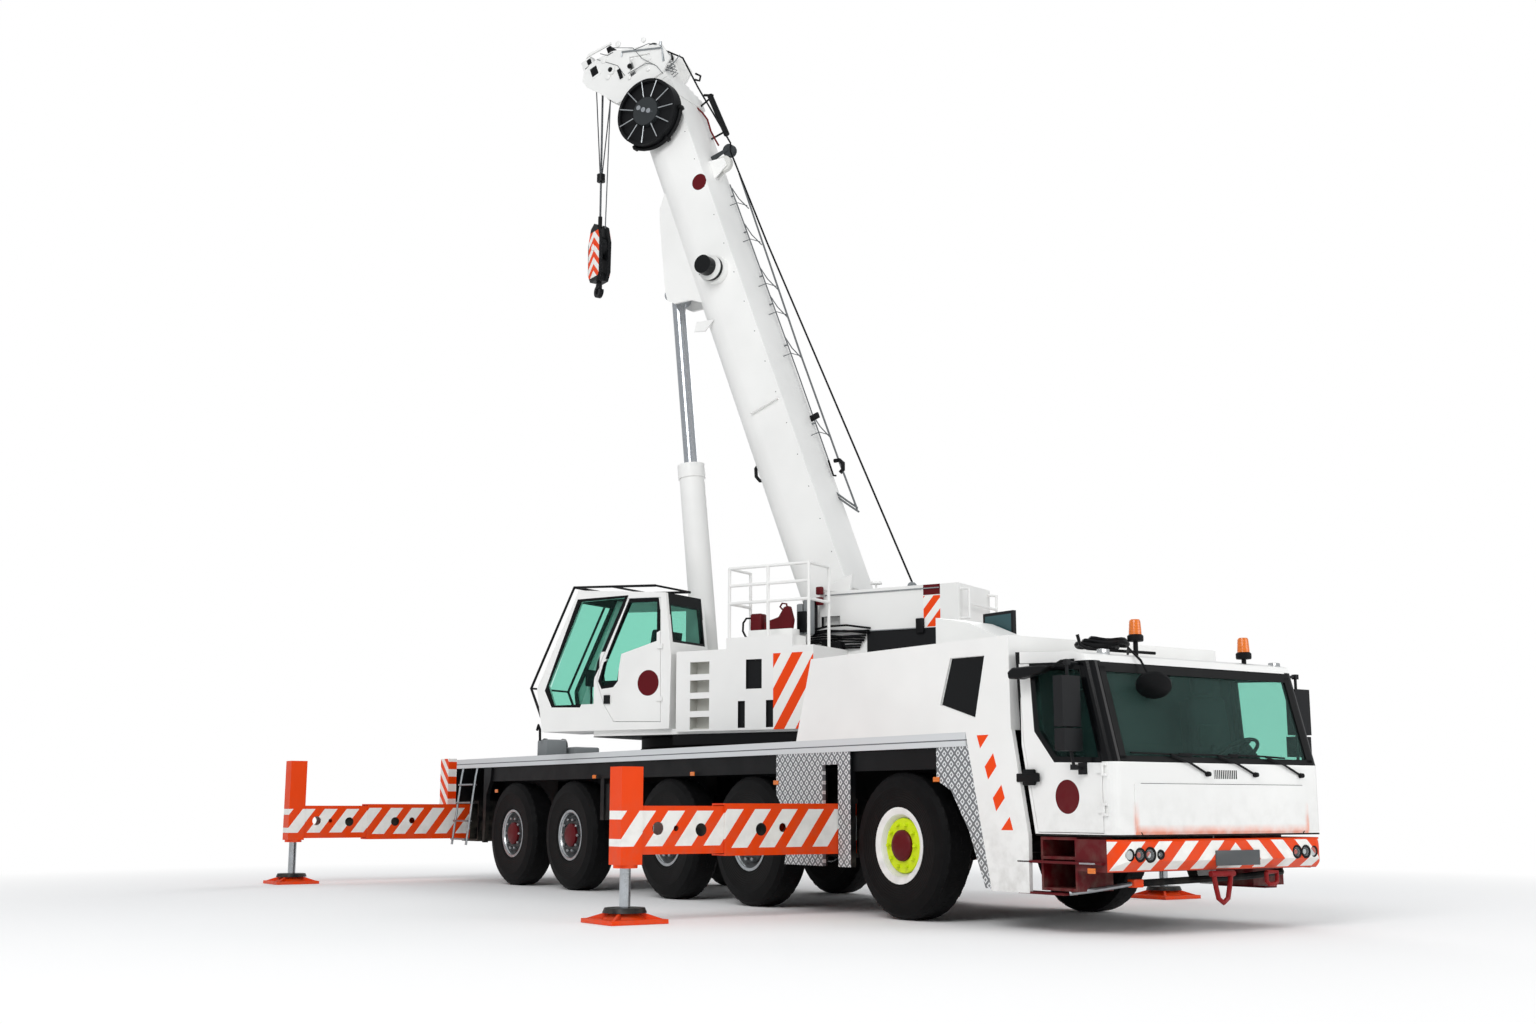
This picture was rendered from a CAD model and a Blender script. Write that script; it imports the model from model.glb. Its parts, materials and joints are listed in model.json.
# %% [markdown]
# # A five-axle mobile crane
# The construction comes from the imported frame: every node is already in its place, in metres,
# with +X to the carrier's front, +Y to its left and +Z up. This lesson gives each node its finish
# and adds what a painter, a glazier and a rigger would: glass, lamps, tread, ropes and fittings.

# %% Load the frame
import json
import math
import random

import bpy
from mathutils import Matrix, Vector


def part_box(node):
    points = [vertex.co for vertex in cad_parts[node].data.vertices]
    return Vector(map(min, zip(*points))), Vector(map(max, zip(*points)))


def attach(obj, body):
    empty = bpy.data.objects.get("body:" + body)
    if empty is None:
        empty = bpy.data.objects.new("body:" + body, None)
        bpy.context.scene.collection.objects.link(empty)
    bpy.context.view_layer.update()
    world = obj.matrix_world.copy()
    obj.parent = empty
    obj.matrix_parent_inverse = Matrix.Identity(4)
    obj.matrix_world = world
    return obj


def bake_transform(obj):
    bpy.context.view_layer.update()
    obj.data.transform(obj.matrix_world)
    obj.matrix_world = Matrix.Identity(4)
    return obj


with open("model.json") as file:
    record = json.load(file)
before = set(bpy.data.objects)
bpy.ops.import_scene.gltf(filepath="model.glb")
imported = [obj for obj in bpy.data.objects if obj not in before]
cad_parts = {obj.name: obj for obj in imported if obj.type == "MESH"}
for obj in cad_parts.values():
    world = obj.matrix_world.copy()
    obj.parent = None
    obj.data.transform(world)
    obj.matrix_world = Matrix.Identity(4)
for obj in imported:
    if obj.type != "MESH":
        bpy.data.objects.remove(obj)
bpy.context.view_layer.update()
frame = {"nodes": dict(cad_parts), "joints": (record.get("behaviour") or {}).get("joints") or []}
nodes = frame["nodes"]

# %% [markdown]
# ## Camera and light
# The crane is seen from its front right corner, with the camera at chest height, so the boom towers
# over it. A long soft key from the front left of the view, a wide fill and a pale world light the
# white paint without clipping it. The floor is white, and the world shows white only to the camera
# and to reflections, so nothing more than soft light falls on the machine.

# %% Camera
CAMERA_PLACE = (16.99, -11.54, 1.07)
CAMERA_YAW = 146.02       # heading of the view, anticlockwise from +X
CAMERA_PITCH = 10.05
CAMERA_ROLL = -0.06
CAMERA_LENS = 38.95       # on a sensor 36 mm wide

camera_data = bpy.data.cameras.new("camera")
camera_data.lens = CAMERA_LENS
camera_data.sensor_width = 36.0
camera_data.clip_end = 300.0
camera = bpy.data.objects.new("camera", camera_data)
bpy.context.scene.collection.objects.link(camera)
camera.location = CAMERA_PLACE
camera.rotation_euler = (math.radians(90 + CAMERA_PITCH), math.radians(CAMERA_ROLL),
                         math.radians(CAMERA_YAW - 90))
bpy.context.scene.camera = camera
bpy.context.scene.view_settings.view_transform = "Standard"
print("camera at", CAMERA_PLACE)


# %% [markdown]
# ## One function for nodes, one for colour
# Every material below is a small node tree. `add` makes a node, sets its plain settings and feeds
# its inputs, so that a tree reads as a list of steps. Colours are written as sRGB hex values, as a
# paint chart gives them, and `hue` turns them into the linear numbers that a shader works in.

# %% Helpers for node trees
def hue(hex_value, shade=1.0):
    """sRGB hex to a linear RGBA tuple, darkened by `shade`."""
    parts = [int(hex_value[k:k + 2], 16) / 255 for k in (1, 3, 5)]
    linear = [c / 12.92 if c <= 0.04045 else ((c + 0.055) / 1.055) ** 2.4 for c in parts]
    return (*(c * shade for c in linear), 1.0)


def feed(node, inputs):
    """Sets inputs by name or number: to a plain value, or by a link from a field or a socket."""
    for key, value in inputs.items():
        socket = node.inputs[key]
        value = getattr(value, "socket", value)
        if isinstance(value, bpy.types.NodeSocket):
            node.id_data.links.new(value, socket)
        else:
            socket.default_value = value


def add(tree, kind, inputs=None, **settings):
    node = tree.nodes.new(kind)
    for key, value in settings.items():
        setattr(node, key, value)
    feed(node, inputs or {})
    return node


def new_material(name):
    """An empty material: itself, its tree and its shader, which is already on the output."""
    material = bpy.data.materials.new(name)
    material.use_nodes = True
    tree = material.node_tree
    return material, tree, tree.nodes["Principled BSDF"]


def cover(tree, factor, below, above):
    """Puts the second of two shaders over the first by a factor, as the material's surface."""
    mixed = add(tree, "ShaderNodeMixShader", {0: factor, 1: below.outputs[0], 2: above.outputs[0]})
    feed(tree.nodes["Material Output"], {"Surface": mixed.outputs[0]})


# %% [markdown]
# ## Fields and masks
# A field is a number at each point of a surface, such as the point's height. The class lets a mask
# be written as it is thought of, `z > 1.3`, and each such sign adds one Math node. A mask is 1 in
# an area and 0 outside it, so that areas are cut and joined by products and maxima, as tape is laid
# on real paint.

# %% Fields
class Field:
    """A number at each point of a surface, made by one node's output."""
    def __init__(self, socket):
        self.socket = socket
        self.tree = socket.id_data

    def __add__(self, other):
        return maths("ADD", self, other)

    def __sub__(self, other):
        return maths("SUBTRACT", self, other)

    def __rsub__(self, other):
        return maths("SUBTRACT", other, self)

    def __mul__(self, other):
        return maths("MULTIPLY", self, other)

    def __truediv__(self, other):
        return maths("DIVIDE", self, other)

    def __gt__(self, other):
        return maths("GREATER_THAN", self, other)

    def __lt__(self, other):
        return maths("LESS_THAN", self, other)

    def __abs__(self):
        return maths("ABSOLUTE", self)

    def __invert__(self):
        return 1.0 - self


def maths(operation, *values):
    tree = next(value.tree for value in values if isinstance(value, Field))
    return Field(add(tree, "ShaderNodeMath", dict(enumerate(values)), operation=operation)
                 .outputs[0])


def mix(factor, a, b):
    """Two colours mixed by a factor."""
    return add(factor.tree, "ShaderNodeMix", {0: factor, 6: a, 7: b}, data_type="RGBA").outputs[2]


def stretch(value, low, high, out_low=0.0, out_high=1.0):
    """Stretches the range low..high of a value to out_low..out_high."""
    return Field(add(value.tree, "ShaderNodeMapRange",
                     {"Value": value, "From Min": low, "From Max": high, "To Min": out_low,
                      "To Max": out_high}).outputs[0])


def place(tree):
    """The point being shaded, in metres, in the object's own coordinates."""
    return add(tree, "ShaderNodeTexCoord").outputs["Object"]


def blotches(tree, size, detail=3.0):
    """Soft noise whose blotches are about `size` metres wide."""
    return Field(add(tree, "ShaderNodeTexNoise",
                     {"Vector": place(tree), "Scale": 1.0 / size, "Detail": detail,
                      "Roughness": 0.55}).outputs["Fac"])


def relief(shader, height, distance):
    """Raises the surface by a field, where 1 stands `distance` metres high."""
    node = add(height.tree, "ShaderNodeBump",
               {"Height": height, "Distance": distance, "Strength": 1.0})
    feed(shader, {"Normal": node.outputs["Normal"]})


# %% [markdown]
# ## The machine's own frames
# The machine's frame is fixed, so a place on it is a pair of numbers. The superstructure is turned
# on the slew ring and the boom is raised, so each has a frame of its own too: `turn` and `along`
# carry these into the carrier's, and `axes` reads a point's coordinates in any of them.

# %% Frames
joints = {j["name"]: j for j in frame["joints"]}
SLEW = joints["slew"]["pos_m"]
FOOT = Vector(joints["luff"]["pos_m"])
boom_way = Vector(joints["telescope"]["axis"]).normalized()
HEADING = math.atan2(boom_way.y, boom_way.x)
LUFF = math.asin(boom_way.z)
print("heading", round(math.degrees(HEADING), 2), "boom angle", round(math.degrees(LUFF), 2))


def shifted(x=0.0, y=0.0, z=0.0):
    return Matrix.Translation((x, y, z))


def turned(angle, axis):
    """A turn by an angle in radians about the axis "X", "Y" or "Z"."""
    return Matrix.Rotation(angle, 4, axis)


turn = shifted(SLEW[0]) @ turned(HEADING, "Z")
along = shifted(*FOOT) @ turned(HEADING, "Z") @ turned(-LUFF, "Y")


def split(tree, vector):
    """The three numbers of a vector."""
    return [Field(socket)
            for socket in add(tree, "ShaderNodeSeparateXYZ", {"Vector": vector}).outputs]


def axes(tree, matrix=None):
    """x, y and z of the point, in the frame that `matrix` places (the carrier's by default)."""
    vector = place(tree)
    if matrix is not None:
        back = matrix.inverted()
        vector = add(tree, "ShaderNodeMapping",
                     {"Vector": vector, "Location": back.to_translation(),
                      "Rotation": back.to_euler("XYZ")}).outputs[0]
    return split(tree, vector)


# %% [markdown]
# ## Masks
# These few shapes are all that the paint below needs: a band, a half plane on both sides of the
# machine, a circle, an outline with straight edges, and slanted stripes.

# %% Masks
def both(*masks):
    result = masks[0]
    for mask in masks[1:]:
        result = result * mask
    return result


def either(*masks):
    result = masks[0]
    for mask in masks[1:]:
        result = maths("MAXIMUM", result, mask)
    return result


def between(value, low, high):
    """1 where low < value < high."""
    return both(value > low, value < high)


def outside(value, limit):
    """1 where |value| > limit."""
    return abs(value) > limit


def within(value, limit):
    """1 where |value| < limit."""
    return abs(value) < limit


def square_of(u, v):
    """Square of the distance from u = v = 0."""
    return maths("MULTIPLY_ADD", u, u, v * v)


def circle(u, v, centre, radius):
    """1 inside a circle on the plane of u and v."""
    return square_of(u - centre[0], v - centre[1]) < radius * radius


def convex(u, v, corners, grow=0.0):
    """1 inside a convex outline of (u, v) corners, widened by `grow` metres."""
    pairs = list(zip(corners, corners[1:] + corners[:1]))
    area = sum(a[0] * b[1] - b[0] * a[1] for a, b in pairs)
    sign = 1 if area > 0 else -1
    masks = []
    for a, b in pairs:
        length = math.dist(a, b)
        nu, nv = sign * (b[1] - a[1]) / length, -sign * (b[0] - a[0]) / length
        masks.append(maths("MULTIPLY_ADD", u, nu, v * nv) < nu * a[0] + nv * a[1] + grow)
    return both(*masks)


def stripes(a, b, lean, period, share=0.5, shift=0.0):
    """1 on slanted bands: `period` metres apart along a, leaning by `lean` for each metre of b."""
    slope = maths("MULTIPLY_ADD", b, lean, a + shift)
    far = 100.0     # keeps the count of periods above 0, where its fraction runs evenly
    return maths("FRACT", (slope + far) / period) < share


# %% [markdown]
# ## Lights and floor
# Area lamps are matched to the size of the machine: the key is 14 m wide, so the shadow under the
# carrier is dark and soft at once. The floor turns into plain white light away from the machine,
# for the camera alone, so that it has no horizon.

# %% Lamps
def lamp(name, place_at, target, size, power):
    data = bpy.data.lights.new(name, "AREA")
    data.shape = "DISK"
    data.size = size
    data.energy = power
    obj = bpy.data.objects.new(name, data)
    bpy.context.scene.collection.objects.link(obj)
    obj.location = place_at
    way = Vector(target) - Vector(place_at)
    obj.rotation_euler = way.to_track_quat("-Z", "Y").to_euler()


lamp("key", (14, -20, 18), (0, 0, 3), 14.0, 2900)
lamp("fill", (22, 8, 9), (1, 0, 3), 12.0, 1150)
lamp("rear", (-18, 14, 14), (0, 0, 3), 12.0, 1250)
print("lamps", len(bpy.data.lights))

# %% World
world = bpy.data.worlds.new("studio")
bpy.context.scene.world = world
world.use_nodes = True
tree = world.node_tree
for node in list(tree.nodes):
    tree.nodes.remove(node)
path = add(tree, "ShaderNodeLightPath")
seen = maths("MAXIMUM", Field(path.outputs["Is Camera Ray"]), path.outputs["Is Transmission Ray"])
soft = add(tree, "ShaderNodeBackground", {"Color": hue("#F6F8FA"), "Strength": 0.60})
white = add(tree, "ShaderNodeBackground", {"Color": (1, 1, 1, 1), "Strength": 1.0})
sky = add(tree, "ShaderNodeMixShader", {0: seen, 1: soft.outputs[0], 2: white.outputs[0]})
add(tree, "ShaderNodeOutputWorld", {"Surface": sky.outputs[0]})

# %% Floor
FLOOR_SIZE = 160
FLOOR_Z = -0.002                # just below the pads, so that the two never share a plane
FLOOR_FADE = (7.5, 14.0)        # distances between which the floor turns white

bpy.ops.object.select_all(action="DESELECT")
bpy.ops.mesh.primitive_plane_add(size=FLOOR_SIZE, location=(0, 0, FLOOR_Z))
floor = bpy.context.object
floor.name = "studio_floor"
material, tree, shader = new_material("matt white studio floor")
feed(shader, {"Base Color": hue("#FDFDFD"), "Roughness": 0.9, "Specular IOR Level": 0.1})
path = add(tree, "ShaderNodeLightPath")
glow = add(tree, "ShaderNodeEmission", {"Color": (1, 1, 1, 1), "Strength": 1.0})
far = add(tree, "ShaderNodeVectorMath", {0: place(tree)}, operation="LENGTH").outputs["Value"]
away = stretch(Field(far), *FLOOR_FADE)
cover(tree, away * path.outputs["Is Camera Ray"], shader, glow)
floor.data.materials.append(material)
print("stage ready")

# %% [markdown]
# ## Paint
# White, orange and black areas are one kind of material: a lacquer that is even from afar and
# slightly uneven close by. Tape, rubber and fitted panels that sit flush in a panel are laid over
# it as areas in another colour and gloss. Road dust gathers low down.

# %% The paint function
ROAD_DUST = "#7C766A"
DUST_TOP, DUST_FULL = 1.3, 0.35         # heights at which dust begins, and is thickest


def paint(name, base, layers=None, rough=0.34, dust=0.30, coat=0.06, shine=0.16, opening=None):
    """A lacquer over which `layers(tree)` lays areas as (mask, colour, roughness).

    A fourth value marks an area as bare metal, and `opening(tree)` is a mask without any surface.
    """
    material, tree, shader = new_material(name)
    tone = stretch(blotches(tree, 1.3), 0.35, 0.65)
    colour = mix(tone, hue(base, 0.93), hue(base))
    gloss = stretch(blotches(tree, 0.35, 5.0), 0.3, 0.7, rough - 0.04, rough + 0.10)
    bare = None
    for mask, shade, roughness, *metal in (layers(tree) if layers else []):
        colour = mix(mask, colour, hue(shade))
        gloss = maths("MULTIPLY_ADD", mask, roughness - gloss, gloss)
        if metal:
            bare = mask if bare is None else either(bare, mask)
    low = stretch(axes(tree)[2], DUST_TOP, DUST_FULL)
    amount = low * stretch(blotches(tree, 0.12, 8.0), 0.4, 0.75) * dust
    feed(shader, {"Base Color": mix(amount, colour, hue(ROAD_DUST)), "Roughness": gloss,
                  "Metallic": bare or 0.0, "Specular IOR Level": shine, "Coat Weight": coat,
                  "Coat Roughness": 0.12})
    relief(shader, blotches(tree, 0.03, 2.0), 0.0004)
    if opening:
        cover(tree, opening(tree), shader, add(tree, "ShaderNodeBsdfTransparent"))
    return material


WHITE, ORANGE, BLACK, RED = "#F3F3F1", "#F04606", "#0B0C0E", "#5E0B14"
TAPE_WHITE, GLOSS_BLACK = "#F4F3EF", "#08090B"

# %% [markdown]
# ## Plain paints
# These need no areas of their own: the white, orange and grey of small fittings, the black frame
# below, moulded black plastic and the dark red of steps and winch parts.

# %% Plain paints
white_plain = paint("white vehicle lacquer", WHITE)
orange_plain = paint("orange vehicle lacquer", ORANGE, rough=0.38)
black_plain = paint("black chassis paint", BLACK, rough=0.55, dust=0.12, coat=0.0, shine=0.10)
red_plain = paint("dark red step paint", RED, rough=0.42, dust=0.05)
black_satin = paint("black moulded plastic", "#0C0D0F", rough=0.48, dust=0.05, coat=0.0)
grey_steel = paint("grey painted steel", "#8E9294", rough=0.42)
print("plain paints", len(bpy.data.materials))


# %% [markdown]
# ## Metal, glass and lenses
# Bare metal shows fine brushing in its gloss. Safety glass is clear from the front and mirrors at
# a slant: a pane has two faces, and each mixes a clear tint with a mirror by how slanted it is
# seen. A lens is a coloured plastic with fine ribs.

# %% Metal
def steel(name, base, rough, scratch):
    """Bare or plated metal: fine brushed variation in its gloss, `scratch` metres wide."""
    material, tree, shader = new_material(name)
    fine = blotches(tree, scratch, 6.0)
    gloss = stretch(blotches(tree, scratch * 3), 0.3, 0.7, rough, rough + 0.12)
    feed(shader, {"Base Color": mix(stretch(fine, 0.35, 0.65), hue(base), hue(base, 0.8)),
                  "Roughness": gloss, "Metallic": 1.0})
    relief(shader, fine, 0.0002)
    return material


chrome = steel("hard chrome plating", "#C9CDD2", 0.10, 0.02)
bare_steel = steel("galvanised steel", "#A9ADB0", 0.32, 0.05)
aluminium = steel("extruded aluminium", "#C4C8CB", 0.34, 0.08)
rope_steel = steel("greased wire rope", "#5E6164", 0.45, 0.01)
hoist_rope_steel = steel("black greased hoist rope", "#1E2022", 0.5, 0.01)


# %% Glass and lenses
def glass(name, haze, clear, least):
    """Tinted safety glass: it lets tinted light through, mirrors at a slant and holds some dust."""
    material, tree, shader = new_material(name)
    dusty = stretch(blotches(tree, 0.6), 0.3, 0.7)
    feed(shader, {"Base Color": mix(dusty, hue(haze), hue(haze, 0.8)), "Roughness": 0.03,
                  "Coat Weight": 0.3})
    through = add(tree, "ShaderNodeBsdfTransparent", {"Color": hue(clear)})
    slant = Field(add(tree, "ShaderNodeLayerWeight", {"Blend": 0.5}).outputs["Facing"])
    cover(tree, stretch(maths("POWER", slant, 4.0), 0.0, 1.0, least, 0.75), through, shader)
    return material


screen_glass = glass("green tinted windscreen glass", "#6F8783", "#DDF5EF", 0.10)
side_glass = glass("green tinted window glass", "#4A5E5C", "#DDF8F1", 0.05)
lens_clear = glass("clear lamp lens", "#C9CFD2", "#EEF2F4", 0.20)

material, tree, shader = new_material("orange beacon lens")
orange_lens = material
ribs = Field(add(tree, "ShaderNodeTexWave",
                 {"Vector": place(tree), "Scale": 22.0, "Distortion": 0.0},
                 bands_direction="Z").outputs["Fac"])
feed(shader, {"Base Color": mix(ribs, hue("#F07A10"), hue("#F07A10", 0.7)), "Roughness": 0.22,
              "Coat Weight": 0.5})
relief(shader, ribs, 0.001)
print("metals, glass and lenses ready")

# %% [markdown]
# ## Panels with areas
# Each function lists what lies flush on that node: glazing rubber, dark grilles, striped tape,
# plain round plates where a name would be, and soot or dust where the real machine has it.

# %% Driver's cab
SCREEN_SLOPE = 240 / 867        # how far the windscreen leans back for each metre up
BELT = 1.433                    # height at which it starts to lean
CAB_FRONT = 6.99
CAB_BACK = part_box("driver_cab")[0].x
SOOT = "#EE7A48"                # the orange haze round the front flap


def cab_layers(tree):
    x, y, z = axes(tree)
    lean = maths("MULTIPLY_ADD", z, SCREEN_SLOPE, -SCREEN_SLOPE * BELT)
    depth = CAB_FRONT - (x + lean)
    frame_band = both(depth < 0.125, between(z, 1.445, 2.30))
    pillar = both(depth < 0.40, between(z, 1.452, 2.31), outside(y, 1.20))
    front = x > 6.975
    flap = between(y, -1.095, 1.12)
    blush = both(front, flap, stretch(z, 0.925, 0.855),
                 stretch(blotches(tree, 0.25), 0.3, 0.6, 0.15, 0.75))
    edge = abs(y - 0.0125)
    sides = both(front, stretch(edge, 1.055, 1.10), stretch(edge, 1.135, 1.10),
                 stretch(z, 1.12, 0.92), stretch(blotches(tree, 0.1), 0.3, 0.6, 0.2, 0.7))
    slits = both(front, between(z, 1.312, 1.388), between(y, -0.105, 0.195),
                 stripes(y, z, 0.0, 0.024, 0.6))
    under = z < 0.84
    inside_cab = both(depth > 0.03, between(z, 0.87, 2.33), between(x, 5.80, 6.945),
                      between(y, -1.292, 1.292))
    rear_seal = both(x < CAB_BACK + 0.055, outside(y, 1.25))
    return [(rear_seal, BLACK, 0.6), (blush, SOOT, 0.5), (sides, SOOT, 0.5),
            (slits, BLACK, 0.6), (either(frame_band, pillar), GLOSS_BLACK, 0.22),
            (under, BLACK, 0.6), (inside_cab, "#3A3D3F", 0.8)]


print("cab's back at", round(CAB_BACK, 3))

# %% Doors
# outlines in (x, z) of the window and of the black enamel round it
DOOR_WINDOW = [(6.120, 1.732), (6.330, 1.500), (6.830, 1.480), (6.630, 2.235), (6.075, 2.262)]
DOOR_BLACK = [(6.055, 1.725), (6.295, 1.450), (6.880, 1.435), (6.650, 2.315), (6.010, 2.325)]


def door_layers(tree):
    x, y, z = axes(tree)
    dark = convex(x, z, DOOR_BLACK)
    hinge = both(x > 6.81, z < 1.42)
    fitted = both(outside(y, 1.3435), ~hinge)
    inner = within(y, 1.296)
    disc = both(circle(x, z, (6.445, 1.155), 0.145), outside(y, 1.33))
    return [(inner, "#4A4D4F", 0.8), (disc, RED, 0.3), (dark, GLOSS_BLACK, 0.22),
            (fitted, "#1A1B1D", 0.45)]


def doorway(tree):
    """Where the doorway's cut meets the cab's hollow, a skin a thousandth of a millimetre thick is
    left in the solid; paint can't lie on it, so the door's window looks into the cab."""
    x, y, z = axes(tree)
    return both(between(abs(y), 1.2890, 1.2904), convex(x, z, DOOR_WINDOW, 0.01))


cab_paint = paint("white cab lacquer with black glazing frame", WHITE, cab_layers,
                  opening=doorway)
door_paint = paint("white door lacquer with black glazing frame", WHITE, door_layers)


# %% [markdown]
# The hood carries a smoked panel over its air inlet and, on its slanted front corner, a strip of
# tape whose orange bars rise to the front.

# %% Engine hood
INLET = [(4.816, 2.015), (4.976, 2.447), (5.457, 2.439), (5.312, 1.871)]


def hood_layers(tree):
    x, y, z = axes(tree)
    flank = outside(y, 1.34)
    inlet = both(convex(x, z, INLET, -0.004), outside(y, 1.3))
    middle = maths("MULTIPLY_ADD", z, 0.3556, x - 6.0177)
    strip = both(flank, between(middle, -0.080, 0.080), between(z, 0.865, 1.715))
    tape = both(strip, stripes(z, x, -1.0, 0.383, 0.42, 0.293))
    back = both(x > 5.43, outside(y, 1.385))
    upright = both(between(y, -0.5205, -0.4795), z > 2.604)
    pane = both(upright, between(x, 4.51, 4.89), between(z, 2.64, 2.935))
    return [(inlet, GLOSS_BLACK, 0.12), (tape, ORANGE, 0.4), (back, BLACK, 0.5),
            (upright, "#141518", 0.4), (pane, "#39565A", 0.12)]


hood_paint = paint("white hood lacquer with smoked inlet panel", WHITE, hood_layers)


# %% [markdown]
# The bumper and the outriggers wear hazard tape. On the bumper the stripes lean outwards from the
# middle; on the beams they are white lozenges between two orange edges.

# %% Bumper and outriggers
def bumper_layers(tree):
    x, y, z = axes(tree)
    round_corner = (7.0 - x) * 0.9
    half = round_corner + abs(y - 0.12)
    tape = both(x > 6.86, between(z, 0.545, 0.785), stripes(half, z, 1.1, 0.325, 0.5, 0.07))
    behind = x < 6.885
    return [(tape, TAPE_WHITE, 0.4), (behind, RED, 0.42)]


bumper_paint = paint("orange bumper lacquer with white tape", ORANGE, bumper_layers, rough=0.38)


def beam_layers(low, high, hole):
    """White lozenges on a beam's two flanks, leaning with the distance out from the frame."""
    def layers(tree):
        x, y, z = axes(tree)
        out = abs(y)
        band = both(between(z, low, high), stripes(out, z, 0.75, 0.322, 0.58, 0.073))
        return [(band, TAPE_WHITE, 0.42), (circle(out, z, hole, 0.062), "#08090A", 0.7)]
    return layers


beam_paint = paint("orange beam lacquer with white tape", ORANGE,
                   beam_layers(0.675, 1.045, (2.30, 0.85)), rough=0.4)
inner_paint = paint("orange inner beam lacquer with white tape", ORANGE,
                    beam_layers(0.70, 1.03, (2.98, 0.85)), rough=0.4)


def foot_layers(tree):
    z = axes(tree)[2]
    rod = z > 0.1405
    disc = between(z, 0.0945, 0.1405)
    return [(disc, "#151618", 0.4), (rod, "#B9BDC1", 0.16, True)]


foot_paint = paint("orange jack pad, black plate and plated rod", ORANGE, foot_layers, rough=0.4)

# %% [markdown]
# The carrier below the deck is black, with chequer plate beside the front jacks and behind the
# first wheels, and the deck's edge is a bare aluminium section.

# %% Carrier
CHEQUER = [(2.06, 3.385, 0.47, 1.63), (4.72, 5.49, 0.34, 1.63)]


def fender_layers(tree):
    x, y, z = axes(tree)
    flank = outside(y, 1.33)
    plates = [both(between(x, a, b), between(z, low, high)) for a, b, low, high in CHEQUER]
    plate = both(flank, either(*plates))
    ridges = []
    for turn_by in (45, -45):
        vector = add(tree, "ShaderNodeMapping",
                     {"Vector": place(tree), "Rotation": (0, math.radians(turn_by), 0)}).outputs[0]
        u, v, w = split(tree, vector)
        # bars are drawn about twice as coarse as real chequer plate, so that they show from afar
        long = stripes(u, w, 0.0, 0.070, 0.62, 0.0 if turn_by > 0 else 0.035)
        ridges.append(both(long, stripes(w, u, 0.0, 0.035, 0.34)))
    ridge = both(plate, either(*ridges))
    return [(plate, "#75787B", 0.40), (ridge, "#E6E8E9", 0.25)]


fender_paint = paint("black fender paint with aluminium chequer plate", "#0D0E10", fender_layers,
                     rough=0.45, dust=0.35, coat=0.0)


def chassis_layers(tree):
    x, y, z = axes(tree)
    step_box = both(between(x, 5.9, 6.98), between(z, 0.3, 0.83), outside(y, 0.83))
    eye = both(x > 6.60, between(z, 0.30, 0.62))
    rear_post = both(x < -6.69, outside(y, 1.24))
    tape = both(rear_post, stripes(z, x, 0.9, 0.22, 0.5))
    return [(step_box, RED, 0.4), (eye, "#8C1216", 0.4), (rear_post, ORANGE, 0.4),
            (tape, TAPE_WHITE, 0.4)]


chassis_paint = paint("black chassis paint with red step boxes", BLACK, chassis_layers,
                      rough=0.55, dust=0.5, coat=0.0)


def deck_layers(tree):
    x, y, z = axes(tree)
    edge = outside(y, 1.30)
    seam = both(edge, between(z, 1.672, 1.684))
    return [(edge, "#D4D7D9", 0.30), (seam, "#6A6D70", 0.5)]


deck_paint = paint("grey deck plate with aluminium edge", "#9A9D9F", deck_layers,
                   rough=0.5, dust=0.3, coat=0.0)

# %% [markdown]
# On the superstructure the masks are read in its own frame: s runs towards the boom's tip and t
# to its left, so that tape and slots stay where they are when the crane is drawn turned.

# %% Superstructure
def housing_layers(tree):
    s, t, z = axes(tree, turn)
    panel = both(t > 1.318, between(s, -2.336, -1.787), between(z, 1.92, 2.866))
    tape = both(panel, stripes(s, z, 0.62, 0.30, 0.5, 0.02))
    recess = between(t, 1.155, 1.3185)
    grille = both(between(s, -1.63, -1.40), between(z, 2.45, 2.81), recess)
    slots = [both(between(s, a, a + 0.103), between(z, 1.99, 2.32), recess)
             for a in (-1.396, -1.789)]
    tread = both(between(s, -0.885, -0.603), between(z, 1.989, 2.81), recess)
    ring = z < 1.942
    exhaust = both(between(s, -0.78, -0.62), between(t, -0.98, -0.82), z > 2.76)
    return [(panel, TAPE_WHITE, 0.4), (tape, ORANGE, 0.4), (tread, "#C9C9C3", 0.5),
            (either(grille, *slots), "#121315", 0.6), (ring, BLACK, 0.6),
            (exhaust, "#5A5048", 0.6)]


housing_paint = paint("white superstructure lacquer with tape", WHITE, housing_layers)


# %% Winch cover
def hoist_layers(tree):
    s, t, z = axes(tree, turn)
    lower = z < 3.1655
    corner = both(t > 0.458, between(s, -3.58, -3.36))
    panel = both(corner, between(z, 3.175, 3.545))
    tape = both(panel, stripes(s, z, 0.85, 0.22, 0.5, 0.03))
    end = both(corner, z > 3.555)
    drum = both(between(s, -3.36, -2.94), between(t, -0.396, 0.396), between(z, 3.22, 3.63))
    window = both(between(s, -2.228, -1.97), between(z, 3.239, 3.373), outside(t, 0.401))
    return [(lower, "#131416", 0.5), (panel, TAPE_WHITE, 0.4), (tape, ORANGE, 0.4),
            (end, RED, 0.3), (drum, "#4B4E50", 0.5), (window, BLACK, 0.6)]


hoist_paint = paint("white winch cover with tape and black frame", WHITE, hoist_layers)


# %% Crane operator's cab
CAB_SILL = 3.0      # height at which the near side's glazing turns forward


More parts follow.
